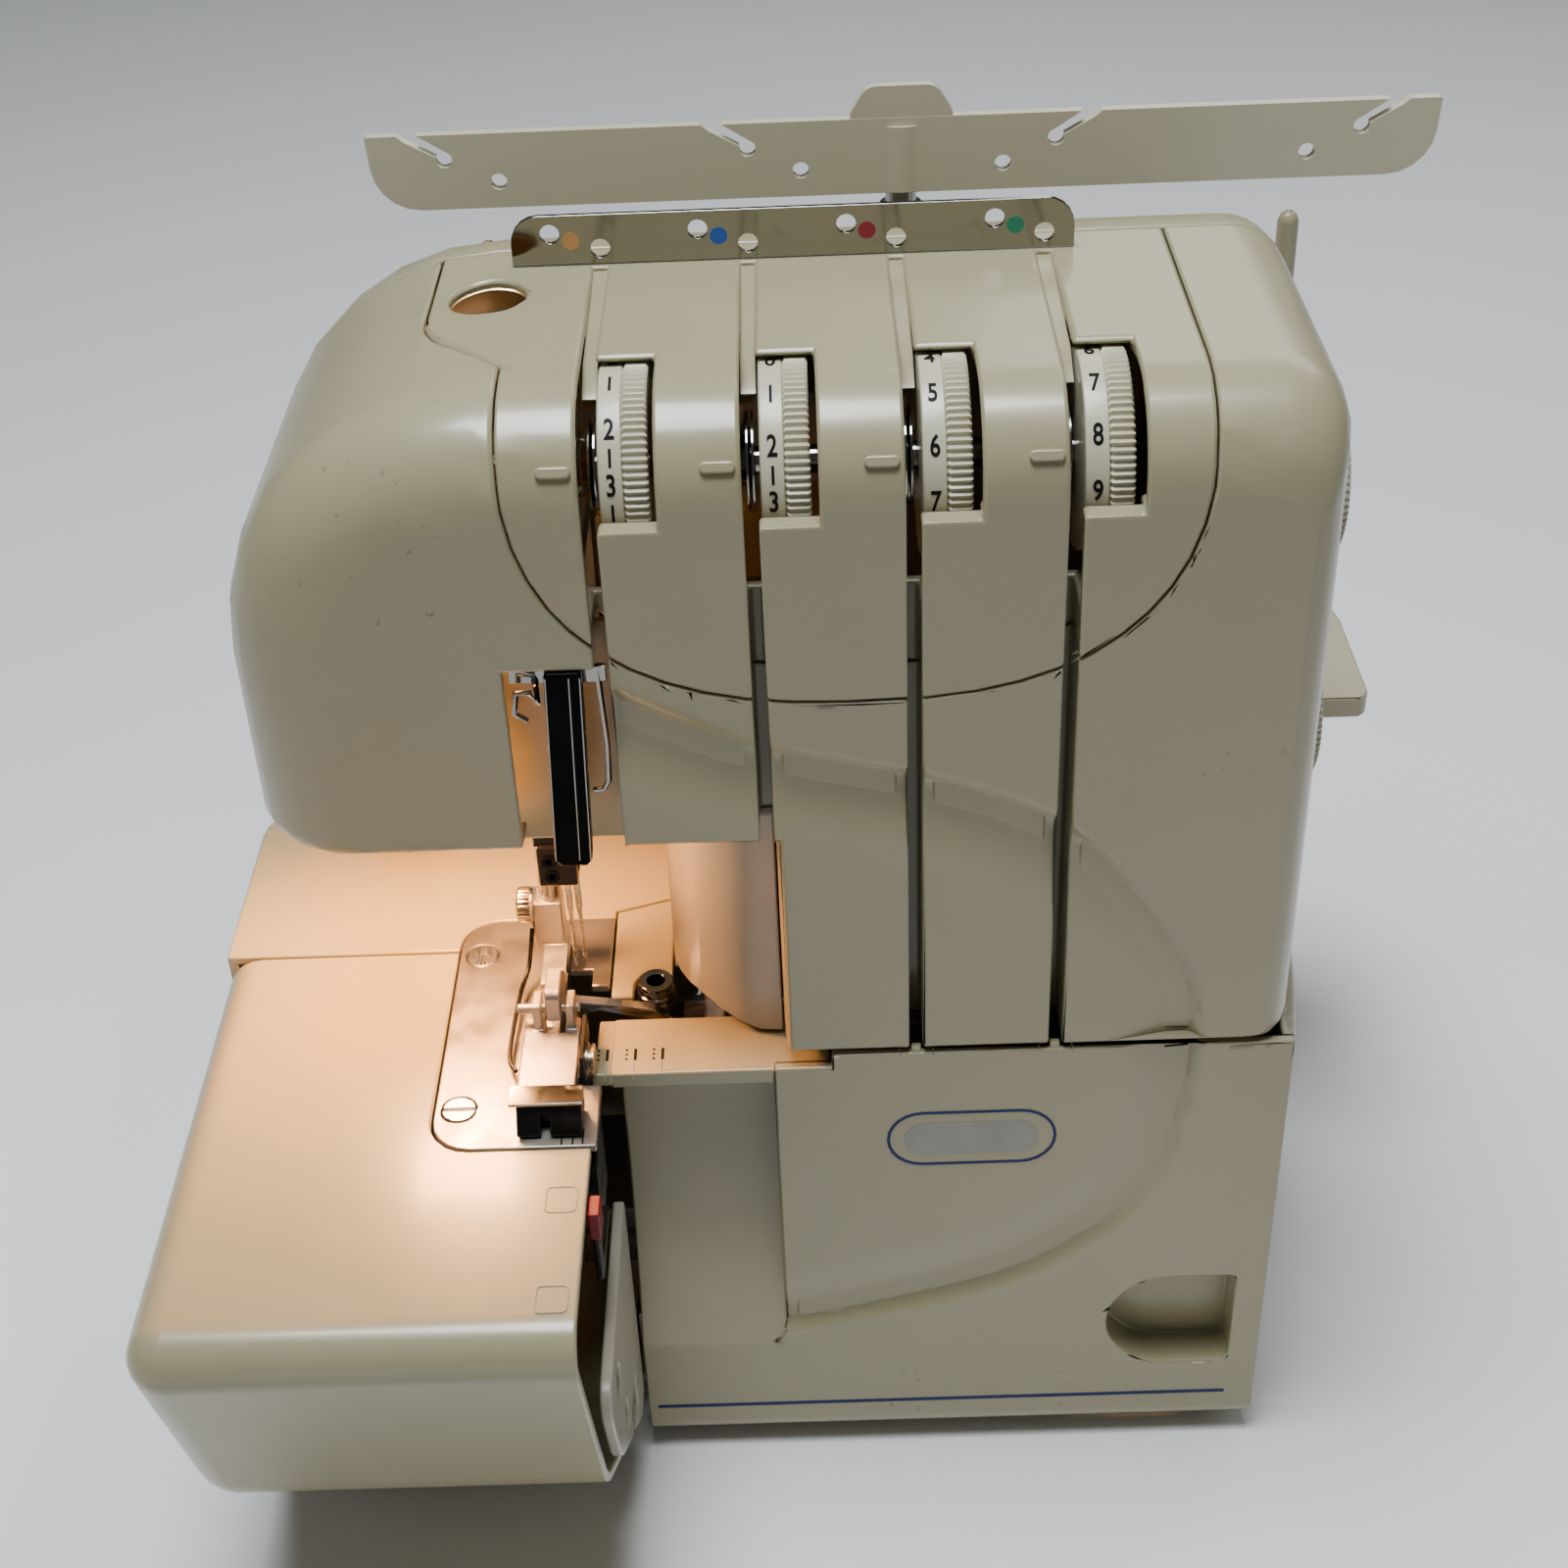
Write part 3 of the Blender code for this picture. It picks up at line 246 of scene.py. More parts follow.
FELT = dull("felt", (0.30, 0.30, 0.29), 0.95, 2600, 0.8)
INK = dull("black_ink", (0.006, 0.006, 0.007), 0.55, 1200, 0.1, Specular_IOR_Level=0.1)
BLUE_INK = dull("blue_ink", (0.008, 0.018, 0.10), 0.45, 1200, 0.1, Specular_IOR_Level=0.2)
PALE_INK = dull("pale_grey_ink", (0.27, 0.265, 0.225), 0.35, 1200, 0.1)
DOT_INKS = [
    dull("orange_ink", (0.60, 0.30, 0.10), 0.4, 1200, 0.1),
    dull("bright_blue_ink", (0.012, 0.09, 0.42), 0.4, 1200, 0.1),
    dull("dark_red_ink", (0.28, 0.016, 0.03), 0.4, 1200, 0.1),
    dull("green_ink", (0.015, 0.25, 0.15), 0.4, 1200, 0.1),
]
BULB = glowing("bulb_glass", (1.0, 0.85, 0.62), 4.0)


# ---------------------------------------------------------------- solids

def loft(rings, closed=False):
    """Skin a row of rings. It is capped at both ends, or joined end to start if closed."""
    solid = bmesh.new()
    rows = [[solid.verts.new(point) for point in ring] for ring in rings]
    pairs = list(zip(rows, rows[1:]))
    if closed:
        pairs.append((rows[-1], rows[0]))
    count = len(rows[0])
    for first, second in pairs:
        for i in range(count):
            j = (i + 1) % count
            solid.faces.new((first[i], first[j], second[j], second[i]))
    if not closed:
        solid.faces.new(rows[0])
        solid.faces.new(rows[-1])
    bmesh.ops.recalc_face_normals(solid, faces=solid.faces)
    return solid


def along(axis, u, v, w):
    """A point from its two cross coordinates and its place along the axis."""
    return {"X": (w, u, v), "Y": (u, w, v), "Z": (u, v, w)}[axis]


def prism(outline, axis, low, high):
    return loft([[along(axis, u, v, w) for u, v in outline] for w in (low, high)])


def box(low, high):
    outline = [(low[0], low[1]), (high[0], low[1]), (high[0], high[1]), (low[0], high[1])]
    return prism(outline, "Z", low[2], high[2])


def turned(profile, axis, centre, segments=48, bore=False, ridges=None):
    """Revolve (radius, along) points about an axis through centre, a (u, v) pair.

    ridges is (count, depth, first, end): from profile point first up to end, left out, the radius
    dips between ridges.
    """
    rings = []
    for place, (radius, w) in enumerate(profile):
        ring = []
        for i in range(segments):
            angle = math.tau * i / segments
            r = radius
            if ridges and ridges[2] <= place < ridges[3]:
                r -= ridges[1] * (0.5 - 0.5 * math.cos(angle * ridges[0])) ** 0.7
            ring.append(along(axis, centre[0] + r * math.cos(angle), centre[1] + r * math.sin(angle), w))
        rings.append(ring)
    return loft(rings, closed=bore)


def fluted(profile, axis, centre, count, depth, span, bore=False, steps=6):
    """A turned solid with count ridges over the profile points of span, a (first, end) pair."""
    return turned(profile, axis, centre, count * steps, bore, (count, depth, *span))


def disc(axis, centre, radius, low, high, segments=32):
    return turned([(radius, low), (radius, high)], axis, centre, segments)


def wire(points, radius, segments=10, steps=6):
    """A round wire along a smooth curve through the points, with flat ends."""
    points = smooth([Vector(p) for p in points], steps)
    rings = []
    side = None
    for i, point in enumerate(points):
        heading = (points[min(i + 1, len(points) - 1)] - points[max(i - 1, 0)]).normalized()
        if side is None:
            side = heading.orthogonal().normalized()
        side = (side - heading * side.dot(heading)).normalized()
        other = heading.cross(side)
        turns = [math.tau * k / segments for k in range(segments)]
        rings.append([point + radius * (math.cos(t) * side + math.sin(t) * other) for t in turns])
    return loft(rings)


def smooth(points, steps):
    """A Catmull-Rom curve through the points."""
    padded = [2 * points[0] - points[1], *points, 2 * points[-1] - points[-2]]
    curve = []
    for a, b, c, d in zip(padded, padded[1:], padded[2:], padded[3:]):
        for k in range(steps):
            t = k / steps
            curve.append(0.5 * (2 * b + (c - a) * t + (2 * a - 5 * b + 4 * c - d) * t * t
                                + (3 * b - a - 3 * c + d) * t * t * t))
    return [*curve, points[-1]]


def rounded(low, high, radius, steps=6):
    """A rectangle's outline with round corners."""
    outline = []
    sharp = ((high[0], high[1]), (low[0], high[1]), (low[0], low[1]), (high[0], low[1]))
    for number, (u, v) in enumerate(sharp):
        inner = (u - math.copysign(radius, u - (low[0] + high[0]) / 2),
                 v - math.copysign(radius, v - (low[1] + high[1]) / 2))
        for k in range(steps + 1):
            angle = math.pi / 2 * (number + k / steps)
            outline.append((inner[0] + radius * math.cos(angle), inner[1] + radius * math.sin(angle)))
    return outline


def frame_ring(low, high, radius, width, axis, near, far):
    """A flat rounded frame of even width, such as a printed or moulded outline."""
    inside = rounded((low[0] + width, low[1] + width), (high[0] - width, high[1] - width), radius - width)
    outside = rounded(low, high, radius)
    rings = [[along(axis, u, v, w) for u, v in outline]
             for outline, w in ((outside, near), (outside, far), (inside, far), (inside, near))]
    return loft(rings, closed=True)


def together(*solids):
    """Several solids in one bmesh, still as separate bodies."""
    whole = bmesh.new()
    for solid in solids:
        mesh = bpy.data.meshes.new("part")
        solid.to_mesh(mesh)
        solid.free()
        whole.from_mesh(mesh)
        bpy.data.meshes.remove(mesh)
    return whole


# ---------------------------------------------------------------- pieces

def piece(name, solid, finish, body, bevel=0.0, angle=35, replaces=(), stray=None):
    """Turn a solid in millimetres into a finished piece that rides on a CAD body.

    stray is (material, test): faces whose middle passes the test take that material.
    """
    if stray:
        for face in solid.faces:
            if stray[1](face.calc_center_median()):
                face.material_index = 1
    bmesh.ops.scale(solid, vec=(MM, MM, MM), verts=solid.verts)
    mesh = bpy.data.meshes.new(name)
    solid.to_mesh(mesh)
    solid.free()
    if mesh.has_custom_normals:
        mesh.attributes.remove(mesh.attributes["custom_normal"])
    mesh.materials.append(finish)
    if stray:
        mesh.materials.append(stray[0])
    mesh.shade_smooth()
    mesh.set_sharp_from_angle(angle=math.radians(angle))
    made = bpy.data.objects.new(name, mesh)
    bpy.context.scene.collection.objects.link(made)
    if bevel:
        rim = made.modifiers.new("worn_edges", "BEVEL")
        rim.width = bevel * MM
        rim.segments = 2
        rim.limit_method = "ANGLE"
        rim.angle_limit = math.radians(angle)
        rim.use_clamp_overlap = False
    flat = made.modifiers.new("flat_faces", "WEIGHTED_NORMAL")
    flat.keep_sharp = True
    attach(made, body)
    if replaces:
        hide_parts(*replaces)
    return made


def copy_of(node):
    """The CAD node's solid in millimetres, with its triangles paired into quads where they are flat."""
    solid = bmesh.new()
    solid.from_mesh(frame["nodes"][node].data)
    bmesh.ops.scale(solid, vec=(1 / MM, 1 / MM, 1 / MM), verts=solid.verts)
    bmesh.ops.remove_doubles(solid, verts=solid.verts, dist=0.002)
    bmesh.ops.join_triangles(solid, faces=solid.faces, angle_face_threshold=math.radians(0.6),
                             angle_shape_threshold=math.radians(120))
    return solid


def skin(node, finish, bevel=0.3, stray=None, solid=None):
    body = frame["nodes"][node]["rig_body"]
    return piece(f"{node}_skin", solid or copy_of(node), finish, body, bevel, replaces=(node,),
                 stray=stray)


def corners(node):
    low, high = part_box(node)
    return low / MM, high / MM


# ---------------------------------------------------------------- front relief

UPPER_SWOOSH = [(-46, 236), (-17, 221), (23, 210), (50, 197), (71, 172), (80.5, 150), (82.5, 128)]
LOWER_SWOOSH = [(82, 142), (81.5, 118), (74, 86), (56, 67), (33, 54), (-16, 41.5), (-60, 38.5)]


def swoosh_depth(curve, x, z):
    """How far the front face is set back at (x, z): a step along the curve that fades out inwards."""
    point = Vector((x, z))
    nearest = None
    for a, b in zip(curve, curve[1:]):
        run = b - a
        share = max(0.0, min(1.0, (point - a).dot(run) / run.length_squared))
        away = point - (a + run * share)
        if nearest is None or away.length < nearest[0]:
            nearest = (away.length, run.cross(away))
    reach = nearest[0] if nearest[1] < 0 else -nearest[0]
    step, fade, depth = 4.2, 20.0, 2.9
    rise = max(0.0, min(1.0, reach / step))
    fall = max(0.0, min(1.0, 1 - (reach - step) / fade))
    return depth * rise * rise * (3 - 2 * rise) * fall * fall * (3 - 2 * fall)


def relieved(node, points, pitch):
    """The node's solid with a fine grid over its front face and the swoosh pressed into it."""
    solid = copy_of(node)
    low, high = corners(node)
    curve = smooth([Vector(p) for p in points], 8)
    for axis, first, last in ((0, low.x, high.x), (2, low.z, min(high.z, SHOULDER_Z))):
        normal = Vector((axis == 0, 0, axis == 2))
        for k in range(1, int((last - first) / pitch)):
            faces = [f for f in solid.faces
                     if f.normal.y < -0.99 and f.calc_center_median().y < FRONT_Y + 0.1]
            edges = {e for f in faces for e in f.edges}
            verts = {v for f in faces for v in f.verts}
            bmesh.ops.bisect_plane(solid, geom=[*faces, *edges, *verts], dist=1e-4,
                                   plane_co=normal * (first + pitch * k), plane_no=normal)
            solid.normal_update()
    for vert in solid.verts:
        if vert.co.y < FRONT_Y + 0.1:
            vert.co.y += swoosh_depth(curve, vert.co.x, vert.co.z)
    return solid


def make_front_covers():
    """The two front covers, each with its part of the swoosh."""
    skin("front_cover", CREAM, 0.5, solid=relieved("front_cover", UPPER_SWOOSH, 2.0))
    skin("looper_cover", CREAM, 0.5, solid=relieved("looper_cover", LOWER_SWOOSH, 2.0))


# ---------------------------------------------------------------- shells and machine parts

def make_shells():
    for node in ("tension_panel", "head_cover"):
        skin(node, CREAM, 0.8)
    for node in ("rear_cover", "lower_case", "bed_cover", "side_cover", "looper_access_plate", "spool_stand"):
        skin(node, CREAM, 0.5)
    skin("thread_guide_bar", CREAM_CLEAN, bevel=0.0)
    skin("presser_lifter", CREAM_CLEAN, 0.5)
    skin("column_cover", WHITE, 0.4)
    skin("knife_side_panel", WHITE, 0.5)
    skin("plate_setting_lever", RED, 0.4, stray=(DARK_STEEL, lambda at: at.z < 120.7))
    skin("needle_guard", GLOSS_BLACK, 0.5)
    skin("inlet_and_switch_frame", BLACK, 0.5)
    skin("power_switch", BLACK, 0.4)
    skin("motor", BLACK, 0.6)


def make_metal_parts():
    for node in ("base_plate", "needle_plate_screw", "feed_dogs", "lower_knife"):
        skin(node, STEEL, 0.2)
    skin("needle_plate", SATIN_STEEL, 0.35)
    for node in ("main_shaft", "motor_pulley", "cover_hinge_rod", "lower_looper", "upper_looper"):
        skin(node, SHAFT_STEEL, 0.15)
    for node in ("pole_outer_tube", "pole_middle_tube", "pole_inner_rod", "wire_thread_guides",
                 "thread_guide_plate", "looper_thread_tube"):
        skin(node, CHROME, 0.12)
    for number in STATIONS:
        skin(f"tension_discs_{number + 1}", CHROME, 0.1)
    skin("upper_knife", DARK_STEEL, 0.2)
    skin("frame_casting", CASTING, 0.8,
         stray=(CREAM, lambda at: -31 < at.y < -28.2 and at.z > 185))
    skin("drive_belt", RUBBER, 0.2)
    for number in range(4):
        skin(f"rubber_foot_{number + 1}", RUBBER, 0.4)
    skin("lamp", BULB, 0.0)
    for node in ("left_needle", "right_needle"):
        skin(node, SHAFT_STEEL, 0.0)
    skin("needle_bar", SHAFT_STEEL, 0.4, stray=(DARK_STEEL, lambda at: at.z < 177.8))
    skin("presser_bar", SANDED, 0.4, stray=(SHAFT_STEEL, lambda at: at.z > 149.4))
    skin("presser_foot", SANDED, 0.35, stray=(DARK_STEEL, lambda at: at.y < -55.4))


# ---------------------------------------------------------------- dials

def number_on_dial(text, centre, radius, angle, x, height):
    """A printed number, as thin solid strokes wrapped round a dial that turns on the X axis."""
    data = bpy.data.curves.new("digit", "FONT")
    data.body = text
    data.align_x = "CENTER"
    data.align_y = "CENTER"
    size_for_height, boldness = 1.38, 0.1
    data.size = height * size_for_height
    data.offset = boldness
    data.resolution_u = 4
    carrier = bpy.data.objects.new("digit", data)
    bpy.context.scene.collection.objects.link(carrier)
    bpy.context.view_layer.update()
    flat = bpy.data.meshes.new_from_object(carrier)
    bpy.data.objects.remove(carrier)
    bpy.data.curves.remove(data)
    solid = bmesh.new()
    solid.from_mesh(flat)
    bpy.data.meshes.remove(flat)
    condensed = 0.72
    bmesh.ops.triangulate(solid, faces=solid.faces)
    grown = bmesh.ops.extrude_face_region(solid, geom=solid.faces)
    lifted = {v for v in grown["geom"] if isinstance(v, bmesh.types.BMVert)}
    for vert in solid.verts:
        turn = math.radians(angle) + vert.co.y / radius
        reach = radius + (0.12 if vert in lifted else -0.1)
        vert.co = (x + vert.co.x * condensed, centre[0] - reach * math.cos(turn),
                   centre[1] + reach * math.sin(turn))
    bmesh.ops.recalc_face_normals(solid, faces=solid.faces)
    return solid


def arc_mark(centre, radius, angle, half_span, low, high):
    """A printed bar round a dial, from x low to high and over 2 half_span degrees."""
    turns = [math.radians(angle - half_span + half_span * k / 3) for k in range(7)]
    sunk, proud = radius - 0.1, radius + 0.06
    rings = []
    for turn in turns:
        ring = [(x, centre[0] - r * math.cos(turn), centre[1] + r * math.sin(turn))
                for x, r in ((low, sunk), (high, sunk), (high, proud), (low, proud))]
        rings.append(ring)
    return loft(rings)


def make_tension_dials():
    """Number band on the left, knurled grip on the right, and printed numbers 0 to 9."""
    readings = (2.9, 2.5, 6.4, 8.5)
    index_angle, pitch = 19.0, 31.0
    for number in STATIONS:
        node = f"tension_dial_{number + 1}"
        low, high = corners(node)
        centre = ((low.y + high.y) / 2, (low.z + high.z) / 2)
        radius = (high.z - low.z) / 2
        band = radius - 0.35
        left, right = low.x, high.x
        split = left + 4.8
        profile = [(band - 0.5, left), (band, left + 0.5), (band, split - 0.25), (band - 0.5, split),
                   (radius - 0.6, split + 0.05), (radius, split + 0.5), (radius, right - 0.5),
                   (radius - 0.6, right), (radius - 4, right), (radius - 5, right - 1.2),
                   (3.3, right - 1.2), (3.3, left)]
        wheel = fluted(profile, "X", centre, 84, 0.75, (4, 8), bore=True)
        body = f"dial_{number + 1}"
        piece(f"{node}_wheel", wheel, CREAM_CLEAN, body, angle=50, replaces=(node,))
        middle = left + 2.5
        marks = []
        for digit in range(10):
            angle = index_angle + pitch * (readings[number] - digit)
            marks.append(number_on_dial(str(digit), centre, band, angle, middle, 4.3))
        for half in (2.5, 3.5):
            angle = index_angle + pitch * (readings[number] - half)
            marks.append(arc_mark(centre, band, angle, 5.2, middle - 0.28, middle + 0.28))
        piece(f"{node}_numbers", together(*marks), INK, body)


def make_side_dials():
    """Two knurled dials on the right-hand side, each with a raised centre and a pointer mark."""
    for node, body in (("stitch_length_dial", "length_dial"), ("differential_feed_dial", "feed_dial")):
        low, high = corners(node)
        centre = ((low.y + high.y) / 2, (low.z + high.z) / 2)
        radius = (high.z - low.z) / 2
        face = high.x
        profile = [(5, low.x), (5, face - 4.2), (radius - 0.6, face - 4.2), (radius, face - 3.8),
                   (radius, face - 1.0), (radius - 1.0, face - 0.2), (radius - 3.2, face),
                   (radius - 4.2, face - 1.1), (9.5, face - 1.1), (9.0, face - 0.2), (8.2, face - 0.1)]
        wheel = fluted(profile, "X", centre, 72, 0.55, (2, 6))
        piece(f"{node}_wheel", wheel, CREAM_CLEAN, body, angle=50, replaces=(node,))
        bar = rounded((centre[0] - 0.5, centre[1] + 9.6), (centre[0] + 0.5, centre[1] + radius - 4.4), 0.45)
        piece(f"{node}_mark", prism(bar, "X", face - 1.3, face - 0.95), INK, body)
        wall = corners("front_cover")[1].x
        reach = radius + 3.2
        for step in range(-2, 3):
            angle = math.radians(90 + 28 * step)
            place = (centre[0] + reach * math.cos(angle), centre[1] + reach * math.sin(angle))
            dot = disc("X", place, 0.75, wall - 0.3, wall + 0.12, 16)
            piece(f"{node}_scale_{step + 3}", dot, INK, "root")


def make_handwheel():
    """Dished wheel with a finely fluted rim and a hub cap."""
    low, high = corners("handwheel")
    centre = ((low.y + high.y) / 2, (low.z + high.z) / 2)
    radius = (high.z - low.z) / 2
    inner, outer = low.x, high.x
    profile = [(4.5, inner), (radius - 4, inner), (radius - 1, inner + 0.8), (radius, inner + 2.6),
               (radius, inner + 9.4), (radius - 1.0, inner + 11), (radius - 3, inner + 12.2),
               (radius - 5.5, inner + 12.4), (radius - 8, inner + 11.2), (13, inner + 11.6),
               (11, outer - 0.8), (9.5, outer - 0.3), (7, outer), (4.5, outer)]
    wheel = fluted(profile, "X", centre, 48, 0.5, (2, 5), bore=True)
    piece("handwheel_rim", wheel, CREAM_CLEAN, "drive_shaft", angle=50,
          replaces=("handwheel",))


def make_pressure_knob():
    """Foot pressure dial down in the round opening of the top."""
    low, high = corners("foot_pressure_dial")
    centre = ((low.x + high.x) / 2, (low.y + high.y) / 2)
    radius = (high.x - low.x) / 2
    cap = low.z + 14
    profile = [(2.5, low.z), (2.5, cap), (radius - 0.5, cap), (radius, cap + 0.5), (radius, high.z - 1.6),
               (radius - 1, high.z - 0.4), (radius - 2, high.z), (3.4, high.z), (3.0, high.z - 0.7)]
    knob = fluted(profile, "Z", centre, 24, 0.5, (2, 6), steps=8)
    piece("foot_pressure_knob", knob, BLACK, "pressure_dial", angle=50,
          replaces=("foot_pressure_dial",))


# ---------------------------------------------------------------- small parts on the housing

def make_index_marks():
    """Raised bars beside the dials, lying on the shoulder's curve."""
    height = 281.0
    lift = math.asin((height - SHOULDER_Z) / SHOULDER)
    for number in STATIONS:
        x = FIRST_DIAL_X + SLOT_PITCH * number
        bar = prism(rounded((-3.4, -1.1), (3.4, 1.1), 1.05), "Y", -0.8, 0.5)
        place = Matrix.Translation((x, FRONT_Y + SHOULDER - SHOULDER * math.cos(lift),
                                    SHOULDER_Z + SHOULDER * math.sin(lift)))
        bmesh.ops.transform(bar, matrix=place @ Matrix.Rotation(-lift, 4, "X"), verts=bar.verts)
        piece(f"tension_index_{number + 1}", bar, CREAM, "root", 0.35)


def make_slot_fins():
    """Shallow floors at the top of the thread slots, sinking towards the dials."""
    for number in STATIONS:
        right = FIRST_SLOT_X + SLOT_PITCH * number
        side = [(27.5, 291.2), (27.5, 286), (-14, 281.5), (-19.5, 284.5), (-12, 288.5)]
        fin = prism(side, "X", right - 2.97, right - 0.03)
        piece(f"thread_slot_floor_{number + 1}", fin, CREAM, "root")


def make_lip_ribs():
    """Small ribs on the looper cover's lip that carry the slots on downwards."""
    for number in (2, 3):
        right = FIRST_SLOT_X + SLOT_PITCH * number
        rib = box((right - 2.6, FRONT_Y + 0.4, 132.8), (right - 0.4, FRONT_Y + 2.2, 134.9))
        piece(f"cover_lip_rib_{number + 1}", rib, CREAM, "looper_door", 0.3)


def make_plate_dots():
    """One colour dot for each thread on the chrome guide plate."""
    low, _ = corners("thread_guide_plate")
    for number, ink in enumerate(DOT_INKS):
        place = (FIRST_DIAL_X + SLOT_PITCH * number, 297.4)
        dot = disc("Y", place, 1.85, low.y - 0.12, low.y + 0.1, 28)
        piece(f"thread_colour_dot_{number + 1}", dot, ink, "root")


def make_badge():
    """Blank pill-shaped badge and a plain stripe; the lettering is left out."""
    low, high = (10.6, 98.7), (49.7, 115.5)
    ring = frame_ring(low, high, 8.3, 0.7, "Y", FRONT_Y - 0.14, FRONT_Y + 0.1)
    piece("badge_outline", ring, BLUE_INK, "looper_door")
    field = prism(rounded((14.6, 102.2), (45.7, 112.0), 4.85), "Y", FRONT_Y - 0.10, FRONT_Y + 0.1)
    piece("badge_field", field, PALE_INK, "looper_door")
    stripe = prism(rounded((-48.5, 15.4), (95, 16.5), 0.5), "Y", FRONT_Y - 0.08, FRONT_Y + 0.1)
    piece("front_stripe", stripe, BLUE_INK, "looper_door")


def make_seam_marks():
    """Printed marks on the looper cover's tab, with grooves over its front edge."""
    top = 129.9
    outline = [(-55.9, -44.8), (-50.9, -44.8), (-50.9, -26.4), (-54.9, -26.4), (-55.2, -43.0)]
    tip = prism(outline, "Z", 126.4, top)
    piece("tab_tip", tip, CREAM, "looper_door", 0.5)
    for number, x in enumerate((-52.5, -46.1, -39.9)):
        solid = prism(rounded((x - 0.35, -40.2), (x + 0.35, -36.4), 0.2), "Z", top - 0.1, top + 0.07)
        piece(f"seam_mark_{number + 1}", solid, INK, "looper_door")
        dots = [disc("Z", (x - 2.0, y), 0.33, top - 0.1, top + 0.07, 12) for y in (-36.8, -38.3, -39.8)]
        piece(f"dotted_seam_mark_{number + 1}", together(*dots), INK, "looper_door")
        groove = [(x - 0.3, -41.0, top + 0.03), (x - 0.3, -44.0, top - 0.1), (x - 0.4, -45.0, 128.4)]
        piece(f"seam_groove_{number + 1}", wire(groove, 0.22, 6), FELT, "looper_door")


def make_embossed_squares():
    """Two blank raised squares on top of the side cover, beside the setting lever."""
    for number, (y_low, y_high) in enumerate(((-87.0, -79.2), (-114.6, -107.0))):
        ring = frame_ring((-63.4, y_low), (-56.3, y_high), 1.5, 0.5, "Z", BED_Z - 0.2, BED_Z + 0.22)
        piece(f"embossed_square_{number + 1}", ring, CREAM, "side_door", 0.1)


def make_guard_edges():
    """Thin chrome wires on the black needle guard: painted highlights that stand in for the shine along its
    edges.
    """
    front = corners("needle_guard")[0].y
    for name, foot, head in (("left", -57.9, -55.9), ("right", -50.6, -49.0), ("middle", -52.9, -51.2)):
        points = [(foot, front - 0.05, 191.5), ((foot + head) / 2, front - 0.1, 214),
                  (head, front - 0.05, 236.8)]
        # painted highlights: chrome wires laid just in front of the guard's face, in place of its own shine
        piece(f"needle_guard_{name}_edge", wire(points, 0.16, 8), CHROME, "root")


# ---------------------------------------------------------------- stitching area

def make_foot_parts():
    """Chrome front strip, thumb screw sleeve and wire spring of the presser foot."""
    low, _ = corners("presser_foot")
    side = [(-55.9, 136.9), (-57.9, 136.9), (-61.6, 136.6), (-61.6, 137.3), (-57.9, 137.7), (-55.9, 137.7)]
    strip = prism(side, "X", low.x + 0.6, -56.2)
    piece("foot_front_strip", strip, CHROME, "foot", 0.15)
    profile = [(2.6, -74.4), (3.9, -74.2), (4.35, -73.6), (4.35, -71.2), (4.0, -70.9), (2.6, -70.9)]
    sleeve = fluted(profile, "X", (-3.4, 146.8), 24, 0.2, (1, 5))
    piece("foot_thumb_screw", sleeve, BRASS, "presser", angle=50)
    spring = [(-71.0, -7, 142.5), (-71.4, -9.5, 139), (-72.2, -12.4, 134.6), (-73.6, -19, 133),
              (-74.4, -34, 132.5), (-74.1, -42, 132.5), (-72.4, -45.6, 132.6)]
    piece("finger_guard_wire", wire(spring, 0.55), DARK_STEEL, "presser")


def make_clamp_screws():
    """Two set screws in the front of the needle clamp."""
    for number, (x, z) in enumerate(((-63.7, 169.6), (-63.3, 165.4))):
        profile = [(1.75, -17.0), (1.75, -17.3), (1.4, -17.4), (0.8, -17.2), (0.75, -16.9)]
        screw = turned(profile, "Y", (x, z), 24)
        piece(f"needle_clamp_screw_{number + 1}", screw, INK, "needle_drive")


def make_knife_screw():
    """Ringed clamp screw of the upper knife."""
    centre = (-42.5, 132.2)
    profile = [(2.0, -58.2), (3.6, -58.2), (3.9, -58.0), (3.9, -57.8), (3.4, -57.6), (3.4, -57.2),
               (4.2, -57.0), (4.2, -56.2), (3.5, -56.0), (3.5, -55.6), (4.0, -55.4), (4.0, -54.9),
               (2.2, -54.6)]
    piece("knife_clamp_screw", turned(profile, "X", centre, 40), BRASS, "moving_knife")


def make_plate_details():
    """Rear screw with a shallow round socket, and the engraved cutting lines of the needle plate."""
    x, y = -84.6, -1.4
    profile = [(3.9, 128.6), (3.9, 129.7), (3.5, 130.0), (2.2, 130.0), (1.7, 129.4)]
    piece("needle_plate_rear_screw", turned(profile, "Z", (x, y), 32), STEEL, "root")
    for number, x in enumerate((-61.0, -58.6, -56.4)):
        groove = prism(rounded((x - 0.22, -66.8), (x + 0.22, -62.0), 0.2), "Z", BED_Z - 0.1, BED_Z + 0.03)
        piece(f"cutting_line_{number + 1}", groove, INK, "root")


def make_tube_rings():
    """Turned rings round the looper thread tube's mouth."""
    centre = (-42.3, -14.4)
    for number, (z, radius) in enumerate(((130.3, 3.7), (128.4, 4.2), (126.6, 4.2))):
        rings = []
        for i in range(12):
            angle = math.tau * i / 12
            rings.append((radius + 0.45 * math.cos(angle), z + 0.45 * math.sin(angle)))
        solid = turned(rings, "Z", centre, 36, bore=True)
        piece(f"thread_tube_ring_{number + 1}", solid, CHROME, "root")


# ---------------------------------------------------------------- back and underside

def make_case_screws():
    """Pan-head screws that hold the rear covers."""
    back = corners("rear_cover")[1].y
    for number, (x, z) in enumerate(((-98, 205), (84, 275), (84, 150), (-30, 275))):
        profile = [(2.9, back - 0.2), (2.9, back + 0.5), (2.3, back + 1.1), (1.2, back + 1.3)]
        head = turned(profile, "Y", (x, z), 28)
        piece(f"rear_cover_screw_{number + 1}", head, STEEL, "root")


